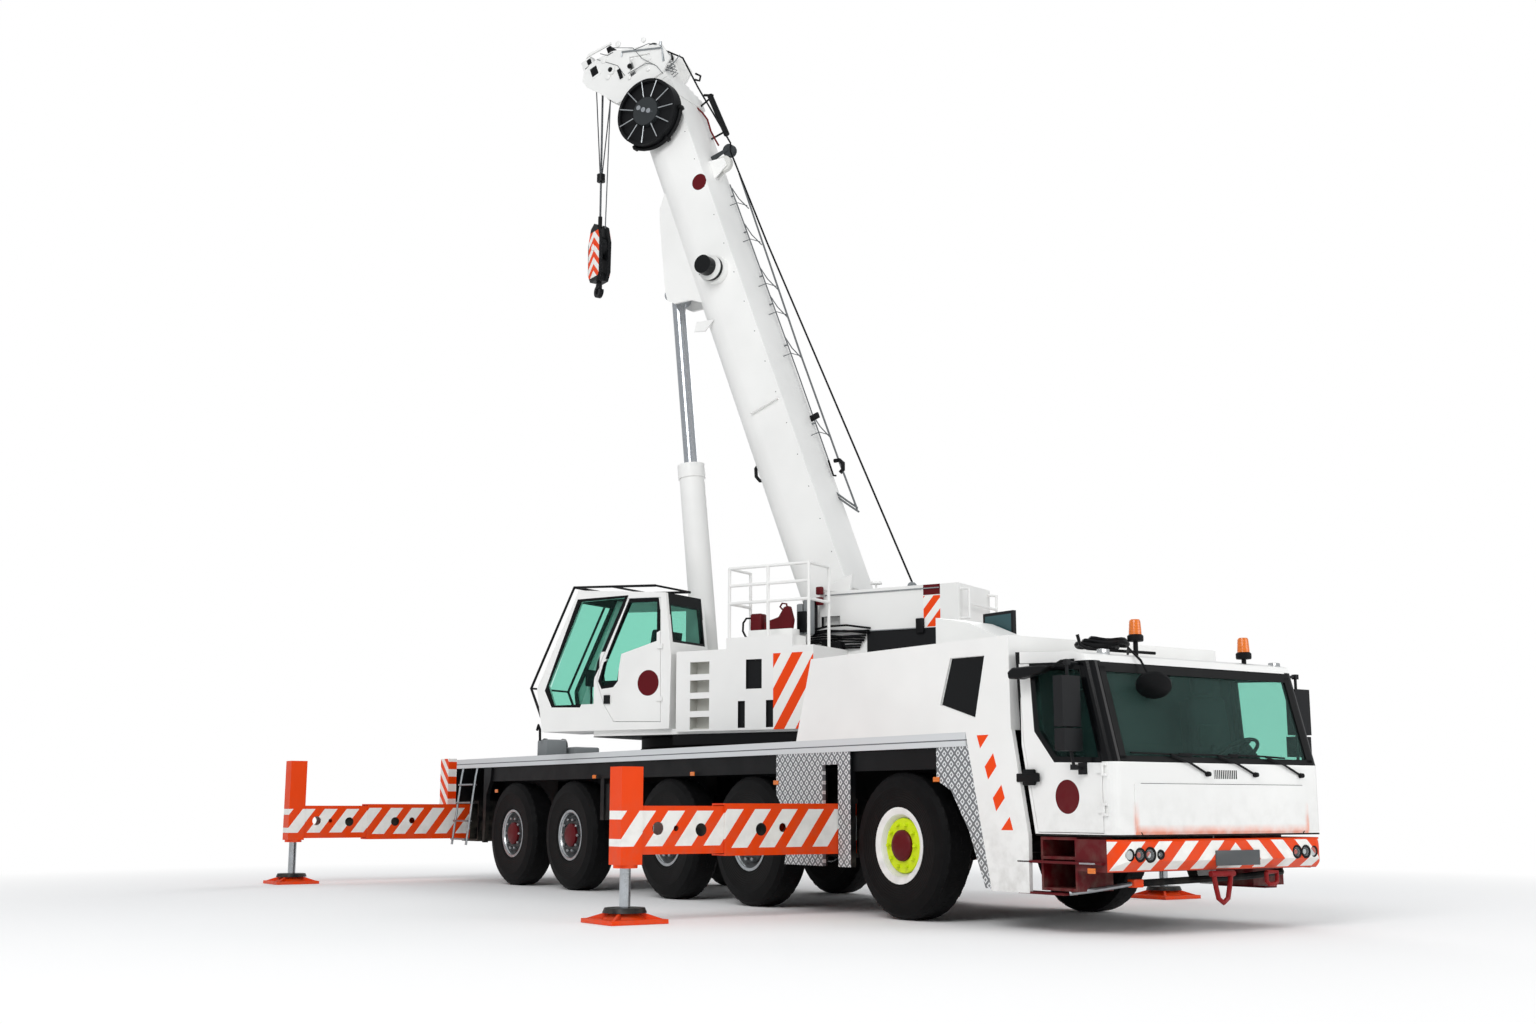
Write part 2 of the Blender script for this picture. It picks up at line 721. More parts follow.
def operator_layers(tree):
    s, t, z = axes(tree, turn)
    upper = convex(s, z, [(0.34, 3.70), (1.145, 3.695), (1.45, CAB_SILL), (0.66, CAB_SILL)])
    lower = convex(s, z, [(0.66, CAB_SILL), (1.45, CAB_SILL), (1.648, 2.54), (1.53, 2.32),
                          (0.80, 2.30), (0.78, 2.80)])
    dark = both(t > 1.30, either(upper, lower))
    inner = both(between(t, 0.521, 1.269), between(s, -0.26, 1.76), between(z, 2.072, 3.76))
    rear = both(s < -0.225, between(z, 3.08, 3.58), between(t, 0.53, 1.26))
    return [(dark, GLOSS_BLACK, 0.22), (rear, GLOSS_BLACK, 0.22), (inner, "#17191A", 0.75)]


operator_paint = paint("white crane cab lacquer with black glazing frame", WHITE,
                       operator_layers)


# %% Crane operator's door
def operator_door_layers(tree):
    s, t, z = axes(tree, turn)
    upper = convex(s, z, [(-0.125, 3.65), (0.325, 3.66), (0.71, 2.86), (0.66, 2.86),
                          (0.46, 2.95), (-0.20, 3.08)])
    lower = convex(s, z, [(0.46, 2.97), (0.71, 2.87), (0.795, 2.63), (0.74, 2.53),
                          (0.56, 2.545), (0.485, 2.62)])
    dark = both(either(upper, lower), t > 1.265)
    disc = both(circle(s, z, (0.022, 2.582), 0.16), t > 1.31)
    latch = both(t > 1.3215, between(s, 0.595, 0.695))
    return [(t < 1.2725, "#3A3D3F", 0.8), (dark, GLOSS_BLACK, 0.22), (disc, RED, 0.3),
            (latch, "#141517", 0.4)]


operator_door_paint = paint("white crane cab door lacquer", WHITE, operator_door_layers)
print("superstructure paints ready")

# %% [markdown]
# ## Boom
# The boom is white all over, and dull grey inside. Its pin stubs have black ends, the head's
# sheaves are black nylon, and a row of dark studs runs along both its edges.

# %% Boom
def boom_layers(tree):
    s, t, n = axes(tree, along)
    stub = both(circle(s, n, (5.42, 0.03), 0.195), outside(t, 0.3515))
    ring = both(stub, outside(t, 0.4505), ~outside(t, 0.505))
    tip = both(stub, outside(t, 0.561))
    hollow = either(circle(t, n, (0.0, -0.12), 0.334),
                    both(within(t, 0.333), between(n, -0.12, 0.312)))
    mouth = both(hollow, between(s, 0.43, 8.40))
    studs = both(outside(t, 0.35), stripes(s, n, 0.3, 0.46, 0.03),
                 either(between(n, -0.135, -0.122), between(n, 0.262, 0.274)))
    disc = both(circle(s, n, (6.752, 0.221), 0.115), outside(t, 0.345))
    guide = both(between(s, 6.86, 7.14), n > 0.395, within(t, 0.0355))
    return [(mouth, "#77797A", 0.6), (studs, "#55585A", 0.5), (either(ring, tip), "#101113", 0.4),
            (disc, RED, 0.3), (guide, "#D8D8D4", 0.4)]


boom_paint = paint("white boom lacquer", WHITE, boom_layers, dust=0.0)


# %% Boom head
def head_layers(tree):
    s, t, n = axes(tree, along)
    low = both(circle(s, n, (9.24, -0.60), 0.186), within(t, 0.22))
    high = both(circle(s, n, (9.12, 0.13), 0.126), within(t, 0.22))
    inner = both(s > 8.45, s < 9.14, within(t, 0.243), between(n, -0.355, 0.213))
    return [(either(low, high), "#1A1B1D", 0.5), (inner, "#8E9091", 0.6)]


head_paint = paint("white boom head lacquer with black sheaves", WHITE, head_layers, dust=0.0)


# %% Hook, reel and lift cylinder
HOOK_TWIST = math.radians(25)       # the block hangs turned by this from the boom's heading
hook_at = Vector(joints["hook_hang"]["pos_m"])
hook_turn = shifted(hook_at.x, hook_at.y) @ turned(HEADING - HOOK_TWIST, "Z")
print("hook hangs at", [round(value, 3) for value in hook_at])


def hook_layers(tree):
    s, t, z = axes(tree, hook_turn)
    across = abs(s)
    cheek = both(between(z, 8.50, 9.18), outside(t, 0.093), across < 0.158)
    chevron = both(cheek, stripes(z, across, 1.0, 0.20, 0.5))
    ropes = both(z > 9.31, across < 0.03, within(t, 0.03), ~between(z, 9.94, 10.07))
    return [(cheek, TAPE_WHITE, 0.4), (chevron, ORANGE, 0.4), (ropes, "#6A6D70", 0.45, True)]


hook_paint = paint("black hook block with tape chevrons", "#17181A", hook_layers, rough=0.38,
                   dust=0.0)
reel_paint = paint("black reel drum", "#131416", rough=0.5, dust=0.0, coat=0.0)
barrel_paint = paint("white cylinder lacquer", WHITE, rough=0.3, dust=0.0)

# %% [markdown]
# ## Wheels
# Rubber is nearly black, and dustier on the sidewall, where fine moulded rings catch the light.
# The front axle's wheels have a white rim with a bright yellow nut ring; the others are dark grey
# with a bright lip. Distances are measured from each wheel's own axis.

# %% Where the axles are
AXLES = [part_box(f"tyre_{i}_left") for i in range(1, 6)]
AXLE_X = [(low.x + high.x) / 2 for low, high in AXLES]
tyre_low, tyre_high = AXLES[0]
TYRE_Z = (tyre_low.z + tyre_high.z) / 2
TYRE_R = (tyre_high.z - tyre_low.z) / 2
TYRE_Y = [tyre_low.y, tyre_high.y]
print("axles at", [round(x, 3) for x in AXLE_X], "tyre radius", round(TYRE_R, 3))


def from_axle(tree, axle):
    """Distance from the wheel's axis."""
    x, y, z = axes(tree)
    return maths("SQRT", square_of(x - AXLE_X[axle], z - TYRE_Z))


# %% Tyres and rims
RING_PITCH = 0.024      # of the rings on the sidewall, coarser than real ones so that they show


def rubber(axle):
    material, tree, shader = new_material(f"road tyre rubber, axle {axle + 1}")
    radius = from_axle(tree, axle)
    worn = stretch(blotches(tree, 0.10, 6.0), 0.35, 0.7)
    colour = mix(worn, hue("#070708"), hue("#0E0E0F"))
    colour = mix(stretch(radius, 0.60, 0.42, 0.0, 0.35), colour, hue("#1B1A19"))
    feed(shader, {"Base Color": colour, "Roughness": 0.62, "Specular IOR Level": 0.12})
    rings = maths("SINE", radius * (2 * math.pi / RING_PITCH))
    relief(shader, rings * stretch(radius, 0.40, 0.62, 1.0, 0.0), 0.0012)
    return material


def rim_material(axle):
    front = axle == 0

    def layers(tree):
        radius = from_axle(tree, axle)
        hub = radius < 0.118
        if front:
            return [(between(radius, 0.118, 0.215), "#D9F01E", 0.4), (hub, RED, 0.35)]
        return [(radius > 0.283, "#C9CCCE", 0.25, True), (hub, RED, 0.35)]

    name = "white rim with yellow nut ring" if front else "grey rim with bright lip"
    return paint(f"{name}, axle {axle + 1}", "#E9E8E2" if front else "#4E5153", layers,
                 rough=0.36, dust=0.15, coat=0.1)


tyre_rubber = [rubber(axle) for axle in range(5)]
rim_paint = [rim_material(axle) for axle in range(5)]


# %% [markdown]
# ## Dress the nodes
# Every node takes one of these finishes. The slot names say which of the part's own materials
# each finish stands for.

# %% Materials on the nodes
SIDES = ("left", "right")


def dress(node, material):
    obj = nodes[node]
    obj.data.materials.clear()
    obj.data.materials.append(material)


for axle in range(5):
    for side in SIDES:
        dress(f"tyre_{axle + 1}_{side}", tyre_rubber[axle])
        dress(f"rim_{axle + 1}_{side}", rim_paint[axle])
        if axle != 2:
            dress(f"knuckle_{axle + 1}_{side}", black_plain)
for part, finish in (("beam", beam_paint), ("inner", inner_paint), ("foot", foot_paint)):
    for end in ("front", "rear"):
        for side in SIDES:
            dress(f"outrigger_{part}_{end}_{side}", finish)
for slot_name, finishes in {
        "dark_paint": {"chassis": chassis_paint, "driveline": black_plain,
                       "fenders": fender_paint},
        "orange_paint": {"bumper": bumper_paint},
        "white_paint": {"engine_hood": hood_paint, "driver_cab": cab_paint,
                        "driver_door_left": door_paint, "driver_door_right": door_paint,
                        "superstructure": housing_paint, "hoist": hoist_paint,
                        "operator_cab": operator_paint, "operator_door": operator_door_paint,
                        "boom_base": boom_paint, "boom_head": head_paint,
                        "lift_barrel": barrel_paint},
        "aluminium": {"deck": deck_paint},
        "black_plastic": {"cab_interior": black_satin},
        "black_steel": {"cable_reel": reel_paint, "hook_block": hook_paint},
        "chrome": {"lift_rod": chrome}}.items():
    for node, finish in finishes.items():
        dress(node, finish)
print("materials", len(bpy.data.materials))
# %% [markdown]
# ## Modelling helpers
# The fittings are modelled as by hand: a primitive at its place, then edit mode. `block` bevels a
# box, `path` draws a line by extruding a single vertex, `pipe` gives such a line a round section,
# `plate` fills it and pulls it thick, and `lathe` spins it about an axis. A piece on the
# superstructure or the boom is drawn in that part's own frame, and `settle` puts it in its place.

# %% Selecting and finishing
WORLD = Matrix.Identity(4)
SMOOTH_BELOW = math.radians(35)      # sharper edges stay crisp
FRAMES = {"superstructure": turn, "operator_door": turn, "boom": along, "boom_head": along}


def fresh():
    """Nothing selected and object mode, so that the next primitive stands alone."""
    if bpy.context.object and bpy.context.object.mode != "OBJECT":
        bpy.ops.object.mode_set(mode="OBJECT")
    bpy.ops.object.select_all(action="DESELECT")


def pick(obj):
    """Only this object selected, and active."""
    fresh()
    obj.select_set(True)
    bpy.context.view_layer.objects.active = obj


def edit():
    """Edit mode with everything selected."""
    bpy.ops.object.mode_set(mode="EDIT")
    bpy.ops.mesh.select_all(action="SELECT")


def leave():
    """Back to object mode with what has been modelled."""
    bpy.ops.object.mode_set(mode="OBJECT")
    return bpy.context.object


def apply_place():
    bpy.ops.object.transform_apply(location=True, rotation=True, scale=True)


def join(objects):
    """Joins the parts of one piece."""
    fresh()
    for obj in objects:
        obj.select_set(True)
    bpy.context.view_layer.objects.active = objects[0]
    if len(objects) > 1:
        bpy.ops.object.join()
    return bpy.context.object


def settle(parts, name, material, body, matrix=None):
    """Joins the parts, sets them in the body's frame or `matrix`'s, smooths, names and paints
    them, and puts the finished piece on its body."""
    obj = join(parts if isinstance(parts, list) else [parts])
    pick(obj)
    obj.matrix_world = (matrix or FRAMES.get(body, WORLD)) @ obj.matrix_world
    apply_place()
    bpy.ops.object.shade_smooth_by_angle(angle=SMOOTH_BELOW)
    obj.name = name
    obj.data.name = name
    obj.data.materials.clear()
    obj.data.materials.append(material)
    if body:
        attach(obj, body)
    return obj


# %% Blocks, lines and plates
def block(low, high, bevel=0.006, segments=2):
    """A box with its edges rounded."""
    fresh()
    centre = [(a + b) / 2 for a, b in zip(low, high)]
    size = [b - a for a, b in zip(low, high)]
    bpy.ops.mesh.primitive_cube_add(size=1, location=centre, scale=size)
    apply_place()
    edit()
    bpy.ops.mesh.bevel(offset=bevel, segments=segments)
    return leave()


def path(points, closed=False):
    """A line through the points, drawn by extruding one vertex; closed lines are filled."""
    fresh()
    bpy.ops.mesh.primitive_plane_add(size=0.01, location=points[0])
    apply_place()
    edit()
    bpy.ops.mesh.merge(type="CENTER")
    for a, b in zip(points, points[1:]):
        step = Vector(b) - Vector(a)
        bpy.ops.mesh.extrude_region_move(TRANSFORM_OT_translate={"value": step})
    if closed:
        bpy.ops.mesh.select_all(action="SELECT")
        bpy.ops.mesh.edge_face_add()
    return leave()


def pipe(points, radius, sides=8):
    """A round bar along the line, with closed ends."""
    path(points)
    bpy.ops.object.convert(target="CURVE")
    curve = bpy.context.object.data
    curve.bevel_depth = radius
    curve.bevel_resolution = max(0, sides // 4 - 1)
    curve.use_fill_caps = True
    bpy.ops.object.convert(target="MESH")
    return bpy.context.object


def plate(points, pull, bevel=0.003):
    """A flat outline pulled thick along `pull`, with a small bevel."""
    path(points, closed=True)
    edit()
    bpy.ops.mesh.extrude_region_move(TRANSFORM_OT_translate={"value": Vector(pull)})
    bpy.ops.mesh.select_all(action="SELECT")
    bpy.ops.mesh.normals_make_consistent(inside=False)
    if bevel:
        bpy.ops.mesh.bevel(offset=bevel, segments=1)
    return leave()


# %% Turned parts and copies
def lathe(profile, centre, axis=(0, 0, 1), steps=32):
    """A profile of (radius, height) spun about an axis through the centre."""
    obj = path([(r, 0.0, h) for r, h in profile])
    edit()
    bpy.ops.mesh.spin(steps=steps, angle=2 * math.pi, center=(0, 0, 0), axis=(0, 0, 1))
    bpy.ops.mesh.select_all(action="SELECT")
    bpy.ops.mesh.remove_doubles(threshold=0.0001)
    bpy.ops.mesh.normals_make_consistent(inside=False)
    leave()
    stand = Vector(axis).to_track_quat("Z", "Y").to_matrix().to_4x4()
    obj.matrix_world = shifted(*centre) @ stand
    pick(obj)
    apply_place()
    return obj


def button(centre, radius, thick, steps=20):
    """A flat round disc that stands out along y."""
    return lathe([(0, 0), (radius, 0), (radius, thick), (0, thick)], centre, (0, 1, 0), steps)


def rod(a, b, radius, steps=12, bevel=0.002):
    """A round bar from a to b with eased ends."""
    a, b = Vector(a), Vector(b)
    length = (b - a).length
    return lathe([(0, 0), (radius - bevel, 0), (radius, bevel), (radius, length - bevel),
                  (radius - bevel, length), (0, length)], a, b - a, steps)


def copy_mesh(obj, matrix):
    """A copy with a mesh of its own, moved by the matrix; a mirrored one is turned right side
    out."""
    twin = obj.copy()
    twin.data = obj.data.copy()
    bpy.context.scene.collection.objects.link(twin)
    twin.data.transform(matrix)
    if matrix.determinant() < 0:
        twin.data.flip_normals()
    return twin


FLIP_Y = Matrix.Scale(-1, 4, (0, 1, 0))
print("helpers ready")


# %% [markdown]
# ## Glass
# Panes are thin slabs set a little behind the openings' outer edges. The windscreen leans with
# the cab and is held by a black rubber that covers the pillars.

# %% Windscreen and cab windows
def screen_x(z, back=0.0):
    """x of the cab's leaning front at a height, moved back from it."""
    return CAB_FRONT - SCREEN_SLOPE * (z - BELT) - back


def screen_pane(y0, y1, z0, z1, back, thick):
    """A slab in the windscreen's plane."""
    corners = [(screen_x(z, back), y, z) for y, z in ((y0, z0), (y1, z0), (y1, z1), (y0, z1))]
    return plate(corners, (-thick, 0, 0), 0)


SCREEN_LOW, SCREEN_HIGH = 1.47, 2.26
RUBBER_OUT, RUBBER_THICK = 0.004, 0.03      # the rubber stands out from the cab's front
settle(screen_pane(-1.20, 1.20, SCREEN_LOW, SCREEN_HIGH, 0.012, 0.008), "windscreen",
       screen_glass, "carrier")
rubber_black = paint("black glazing rubber", "#090A0B", rough=0.45, dust=0.05, coat=0.0)
strips = ((-1.235, 1.235, 1.452, 1.495), (-1.235, 1.235, 2.215, 2.285),
          (-1.235, -1.165, SCREEN_LOW, SCREEN_HIGH), (1.165, 1.235, SCREEN_LOW, SCREEN_HIGH))
settle([screen_pane(*strip, -RUBBER_OUT, RUBBER_THICK) for strip in strips], "windscreen_rubber",
       rubber_black, "carrier")
for side, sign in (("right", -1), ("left", 1)):
    corners = [(x, sign * 1.322, z) for x, z in DOOR_WINDOW]
    settle(plate(corners, (0, -sign * 0.006, 0), 0), f"door_glass_{side}", side_glass,
           f"driver_door_{side}")

# %% Glass of the operator's cab
OPERATOR_WINDOW = [(-0.100, 3.590), (0.320, 3.600), (0.700, 2.850), (0.750, 2.640),
                   (0.720, 2.560), (0.499, 2.630), (0.440, 2.960), (-0.100, 3.098)]
NEAR_PANE = [(0.38, 3.69), (1.10, 3.68), (1.62, 2.60), (1.50, 2.32), (0.84, 2.32), (0.79, 2.90)]
FAR_PANE = [(0.0, 3.56), (1.05, 3.60), (1.56, 2.602), (1.47, 2.40), (0.0, 2.80)]


def upright(outline, t):
    """Corners at one t of an outline in (s, z)."""
    return [(s, t, z) for s, z in outline]


panes = {"front": ([(1.700, 0.53, 2.33), (1.700, 1.26, 2.33), (1.125, 1.26, 3.66),
                    (1.125, 0.53, 3.66)], (-0.008, 0, 0)),
         "near_side": (upright(NEAR_PANE, 1.305), (0, -0.006, 0)),
         "far_side": (upright(FAR_PANE, 0.485), (0, 0.006, 0)),
         "rear": ([(-0.275, 0.55, 3.10), (-0.275, 1.24, 3.10), (-0.245, 1.24, 3.56),
                   (-0.245, 0.55, 3.56)], (0.006, 0, 0)),
         "door": (upright(OPERATOR_WINDOW, 1.300), (0, -0.006, 0))}
for name, (corners, pull) in panes.items():
    settle(plate(corners, pull, 0), f"operator_glass_{name}", side_glass,
           "operator_door" if name == "door" else "superstructure")
print("glass done")

# %% [markdown]
# ## What stands out from the silhouette
# Beacons on the cab's roof, the round mirror before the windscreen, the roof bar with its cable
# loops, the guard frame of the crane cab and the ladder at the carrier's rear corner.

# %% Beacons and the round mirror
def beacon(name, x, y, roof, foot):
    """A flashing lamp whose post stands on the roof and carries a base at height `foot`."""
    base = lathe([(0, roof), (0.022, roof), (0.022, foot), (0.068, foot), (0.072, foot + 0.012),
                  (0.072, foot + 0.05), (0.06, foot + 0.062), (0, foot + 0.062)], (x, y, 0),
                 steps=24)
    settle(base, f"{name}_base", black_satin, "carrier")
    top = foot + 0.06
    cap = lathe([(0, top), (0.057, top), (0.056, top + 0.03), (0.050, top + 0.12),
                 (0.042, top + 0.137), (0, top + 0.142)], (x, y, 0), steps=24)
    settle(cap, f"{name}_lens", orange_lens, "carrier")


beacon("beacon_near", 6.50, -0.50, 2.38, 2.53)
beacon("beacon_far", 6.60, 0.82, 2.36, 2.43)
MIRROR = (6.93, -0.75, 2.11)
mirror_disc = lathe([(0, -0.012), (0.138, -0.010), (0.154, 0.0), (0.151, 0.020), (0.11, 0.045),
                     (0, 0.055)], MIRROR, (0.46, -0.50, -0.73))
settle(mirror_disc, "front_mirror", black_satin, "carrier")
settle(pipe([(6.42, -0.52, 2.42), (6.60, -0.70, 2.455), (6.78, -0.74, 2.33), MIRROR], 0.011),
       "front_mirror_arm", black_satin, "carrier")

# %% Roof bar and cable coil
settle(pipe([(6.30, -1.02, 2.58), (6.31, -1.00, 2.49), (6.34, -0.94, 2.455), (6.38, -0.55, 2.45),
             (6.40, -0.15, 2.45)], 0.016), "roof_bar", black_satin, "carrier")
COIL_Z, COIL_RISE, COIL_WAVE = 2.495, 0.03, 0.01
loops = []
for k, (x, y, r) in enumerate(((6.26, -0.74, 0.23), (6.27, -0.64, 0.25), (6.24, -0.58, 0.20))):
    angles = [2 * math.pi * i / 20 for i in range(21)]
    ring = [(x + 0.5 * r * math.cos(a), y + r * math.sin(a),
             COIL_Z + COIL_RISE * k + COIL_WAVE * math.sin(3 * a)) for a in angles]
    loops.append(pipe(ring, 0.021))
settle(loops, "roof_cable_coil", black_satin, "carrier")

# %% Guard frame of the operator's cab
GUARD_SIDES = (1.285, 0.505)
guard = [pipe([(1.72, t, 2.20), (1.90, t, 2.58), (1.23, t, 3.86), (-0.05, t, 3.80)], 0.018)
         for t in GUARD_SIDES]
guard += [pipe([(s, t, z) for t in GUARD_SIDES], radius)
          for s, z, radius in ((0.62, 3.83, 0.014), (1.23, 3.86, 0.018), (-0.05, 3.80, 0.014),
                               (1.90, 2.58, 0.014))]
settle(guard, "operator_cab_guard", black_satin, "superstructure")

# %% Rear ladder
LADDER_X = (-5.70, -6.20)
ladder = [pipe([(x, -1.345, 1.66), (x, -1.375, 1.50), (x, -1.50, 0.52)], 0.017) for x in LADDER_X]
for k in range(4):
    z = 1.38 - 0.26 * k
    y = -1.375 - 0.125 * (1.50 - z) / 0.98      # the rails lean outwards as they come down
    ladder.append(block((LADDER_X[1], y - 0.04, z - 0.012), (LADDER_X[0], y + 0.04, z + 0.012),
                        0.004, 1))
settle(ladder, "rear_ladder", bare_steel, "carrier")
print("silhouette fittings done")


# %% [markdown]
# ## The carrier's front
# Small fittings bring a plain cab to life: wipers parked low on the screen, round lamps in the
# bumper, the blank number plate, towing gear below and the clearance lamps above.

# %% Wipers and seams
wipers = []
for y, reach in ((-0.20, 0.45), (0.42, 0.48), (1.04, 0.47)):
    pivot = (7.002, y, 1.352)
    elbow = (screen_x(1.50, -0.03), y - reach, 1.512)
    wipers.append(lathe([(0, -0.02), (0.02, -0.02), (0.024, 0), (0.02, 0.028), (0, 0.03)],
                        pivot, (1, 0, 0), 16))
    wipers.append(pipe([pivot, (7.012, y - 0.5 * reach, 1.445), elbow], 0.010))
    wipers.append(pipe([(screen_x(1.52, -0.012), y - reach - 0.46, 1.522),
                        (screen_x(1.51, -0.014), y - reach, 1.516),
                        (screen_x(1.505, -0.012), y - reach + 0.28, 1.505)], 0.009))
settle(wipers, "wipers", black_satin, "carrier")

# The flap below the screen: cut corners above, and sides that draw in a little further down.
FLAP_X = 6.9915
low, high, left, right = 0.835, 1.262, -1.07, 1.12
corner = 0.06
flap_edge = [(FLAP_X, y, z) for y, z in (
    (left, high - corner), (left + 0.3 * corner, high - 0.3 * corner), (left + corner, high),
    (right - corner, high), (right - 0.3 * corner, high - 0.3 * corner), (right, high - corner),
    (right - 0.015, low + 0.2), (right - 0.02, low + corner), (right - corner - 0.02, low),
    (left + corner, low), (left + 0.01, low + corner), (left, low + 0.2),
    (left, high - corner))]
settle(pipe(flap_edge, 0.0055, 4), "front_flap_seam", rubber_black, "carrier")

# %% Lamps
lamp_metal = steel("bright lamp reflector", "#DADCDD", 0.12, 0.01)
LAMP_Z = 0.675
rings, lenses = [], []
for y, radius in ((-1.175, 0.052), (-1.065, 0.052), (-0.945, 0.058), (-0.82, 0.034),
                  (0.935, 0.052), (1.055, 0.052), (1.175, 0.052)):
    x = 6.985 if abs(y) < 1.1 else 6.972      # the bumper's corners fall back
    rings.append(lathe([(radius - 0.004, 0), (radius + 0.010, 0.012), (radius + 0.006, 0.024),
                        (radius - 0.010, 0.016), (radius - 0.022, 0.004), (0.012, -0.008),
                        (0, -0.008)], (x, y, LAMP_Z), (1, 0, 0), 28))
    lenses.append(lathe([(radius - 0.006, 0.012), (radius - 0.02, 0.021), (0, 0.026)],
                        (x, y, LAMP_Z), (1, 0, 0), 28))
settle(rings, "bumper_lamp_rings", black_satin, "carrier")
settle(lenses, "bumper_lamp_lenses", lens_clear, "carrier")
for name, y, z in (("near", -1.005, 2.397), ("far", 1.25, 2.383)):
    settle(block((6.56, y - 0.05, z - 0.028), (6.63, y + 0.05, z + 0.032), 0.01),
           f"top_lamp_{name}", lamp_metal, "carrier")

# %% Number plate, shackle and towing gear
settle(block((6.998, -0.145, 0.57), (7.012, 0.42, 0.70), 0.004), "number_plate_blank",
       paint("grey plate enamel", "#55585A", rough=0.35, dust=0.1), "carrier")
tow_red = paint("red towing gear paint", "#8A0F14", rough=0.4, dust=0.15)
hook_line = [(6.94, -0.115, 0.51), (6.94, -0.085, 0.38), (6.94, -0.06, 0.29), (6.94, 0.0, 0.252),
             (6.94, 0.06, 0.29), (6.94, 0.085, 0.38), (6.94, 0.115, 0.51)]
towing = [pipe(hook_line, 0.022, 12), rod((6.94, -0.15, 0.50), (6.94, 0.15, 0.50), 0.026, 16)]
eye_line = [(6.93, 0.59, 0.50), (6.93, 0.59, 0.42), (6.93, 0.62, 0.395), (6.93, 0.70, 0.395),
            (6.93, 0.73, 0.42), (6.93, 0.73, 0.50), (6.93, 0.59, 0.50)]
towing.append(pipe(eye_line, 0.02, 12))
settle(towing, "tow_shackle_and_eye", tow_red, "carrier")
settle(pipe([(6.41, -1.315, 0.345), (6.55, -1.15, 0.375), (6.75, -0.90, 0.43)], 0.021, 12),
       "front_guard_bar", bare_steel, "carrier")
settle(block((6.70, -0.92, 0.395), (6.78, -0.80, 0.465), 0.01), "guard_bar_clamp", orange_plain,
       "carrier")
settle(pipe([(6.75, -0.82, 0.43), (6.75, 0.55, 0.46), (6.72, 1.05, 0.49)], 0.03, 12),
       "front_crossbar", black_plain, "carrier")

# %% Steps and reflectors below the door
red_steps = [block((5.83, -1.375, 0.59), (6.86, -1.20, 0.612), 0.005, 1),
             block((5.83, -1.372, 0.325), (6.40, -1.20, 0.345), 0.005, 1)]
both_steps = red_steps + [copy_mesh(step, FLIP_Y) for step in red_steps]
settle(both_steps, "door_steps", red_plain, "carrier")
settle(block((6.60, -1.382, 0.594), (6.785, -1.36, 0.608), 0.003, 1), "step_edge_marker",
       aluminium, "carrier")
reflectors = [block((x, -1.384, z), (x + 0.09, -1.372, z + 0.045), 0.003, 1)
              for x, z in ((6.70, 0.52), (4.70, 1.30), (2.02, 1.30), (0.30, 1.42), (-2.10, 1.42),
                           (-5.02, 1.26))]
reflectors += [copy_mesh(piece, FLIP_Y) for piece in reflectors]
settle(reflectors, "side_reflectors", orange_lens, "carrier")

# %% Kerb mirror and door handles
visor_edge = [(5.90, 2.19), (6.02, 2.18), (6.30, 2.22), (6.42, 2.27), (6.30, 2.285),
              (5.95, 2.285), (5.89, 2.25)]
visor = plate([(x, -1.50, z) for x, z in visor_edge], (0, 0.10, 0), 0.012)
arm = pipe([(6.42, -1.45, 2.265), (6.50, -1.42, 2.31), (6.60, -1.36, 2.315)], 0.014)
handle = block((5.86, -1.39, 1.285), (6.15, -1.372, 1.36), 0.008)
handle_cup = block((5.93, -1.385, 1.255), (6.08, -1.35, 1.395), 0.012)
settle([visor, arm], "kerb_mirror", black_satin, "driver_door_right")
handle = settle([handle, handle_cup], "door_handle_right", black_satin, "driver_door_right")
settle(copy_mesh(handle, FLIP_Y), "door_handle_left", black_satin, "driver_door_left")
print("front fittings done")

# %% [markdown]
# ## Winches, hoses and the boom's rigging
# What stands on the superstructure is drawn in its own frame (s, t, z), and what lies along the
# boom in the boom's (s, t, n), so every number reads as a distance along the machine's own part.

# %% Beside the boom's foot
red_parts = [block((-1.425, 0.86, 3.13), (-1.265, 1.0, 3.40), 0.02),
             plate([(-1.46, 0.90, 3.20), (-1.83, 0.90, 3.19), (-1.85, 0.90, 3.30),
                    (-1.80, 0.90, 3.47), (-1.74, 0.90, 3.46), (-1.66, 0.90, 3.34),
                    (-1.46, 0.90, 3.285)], (0, 0.09, 0), 0.008),
             pipe([(-1.70, 0.94, 3.43), (-1.66, 0.94, 3.47), (-1.69, 0.94, 3.51),
                   (-1.75, 0.94, 3.50), (-1.76, 0.94, 3.44)], 0.012)]
settle(red_parts, "winch_brackets", red_plain, "superstructure")
settle(block((-1.88, 0.84, 3.075), (-1.26, 1.04, 3.19), 0.012), "winch_tray", white_plain,
       "superstructure")
grip = pipe([(-1.27, 0.93, 3.35), (-1.17, 0.93, 3.355), (-1.125, 0.93, 3.30),
             (-1.12, 0.93, 3.20), (-1.16, 0.93, 3.13), (-1.20, 0.93, 3.10)], 0.013)
settle(grip, "winch_hand_bow", black_satin, "superstructure")
valve = [block((-1.97, 0.62, 3.14), (-1.87, 0.74, 3.60), 0.02),
         block((-1.86, 0.62, 3.14), (-1.77, 0.74, 3.52), 0.02)]
settle(valve, "valve_block", grey_steel, "superstructure")
settle(block((-1.93, 0.745, 3.16), (-1.80, 0.775, 3.42), 0.01), "valve_cover", black_satin,
       "superstructure")
ports = [block((-2.03, 0.50, z - 0.05), (-1.94, 0.56, z + 0.05), 0.015) for z in (3.56, 3.69)]
settle(ports, "hose_ports", red_plain, "superstructure")

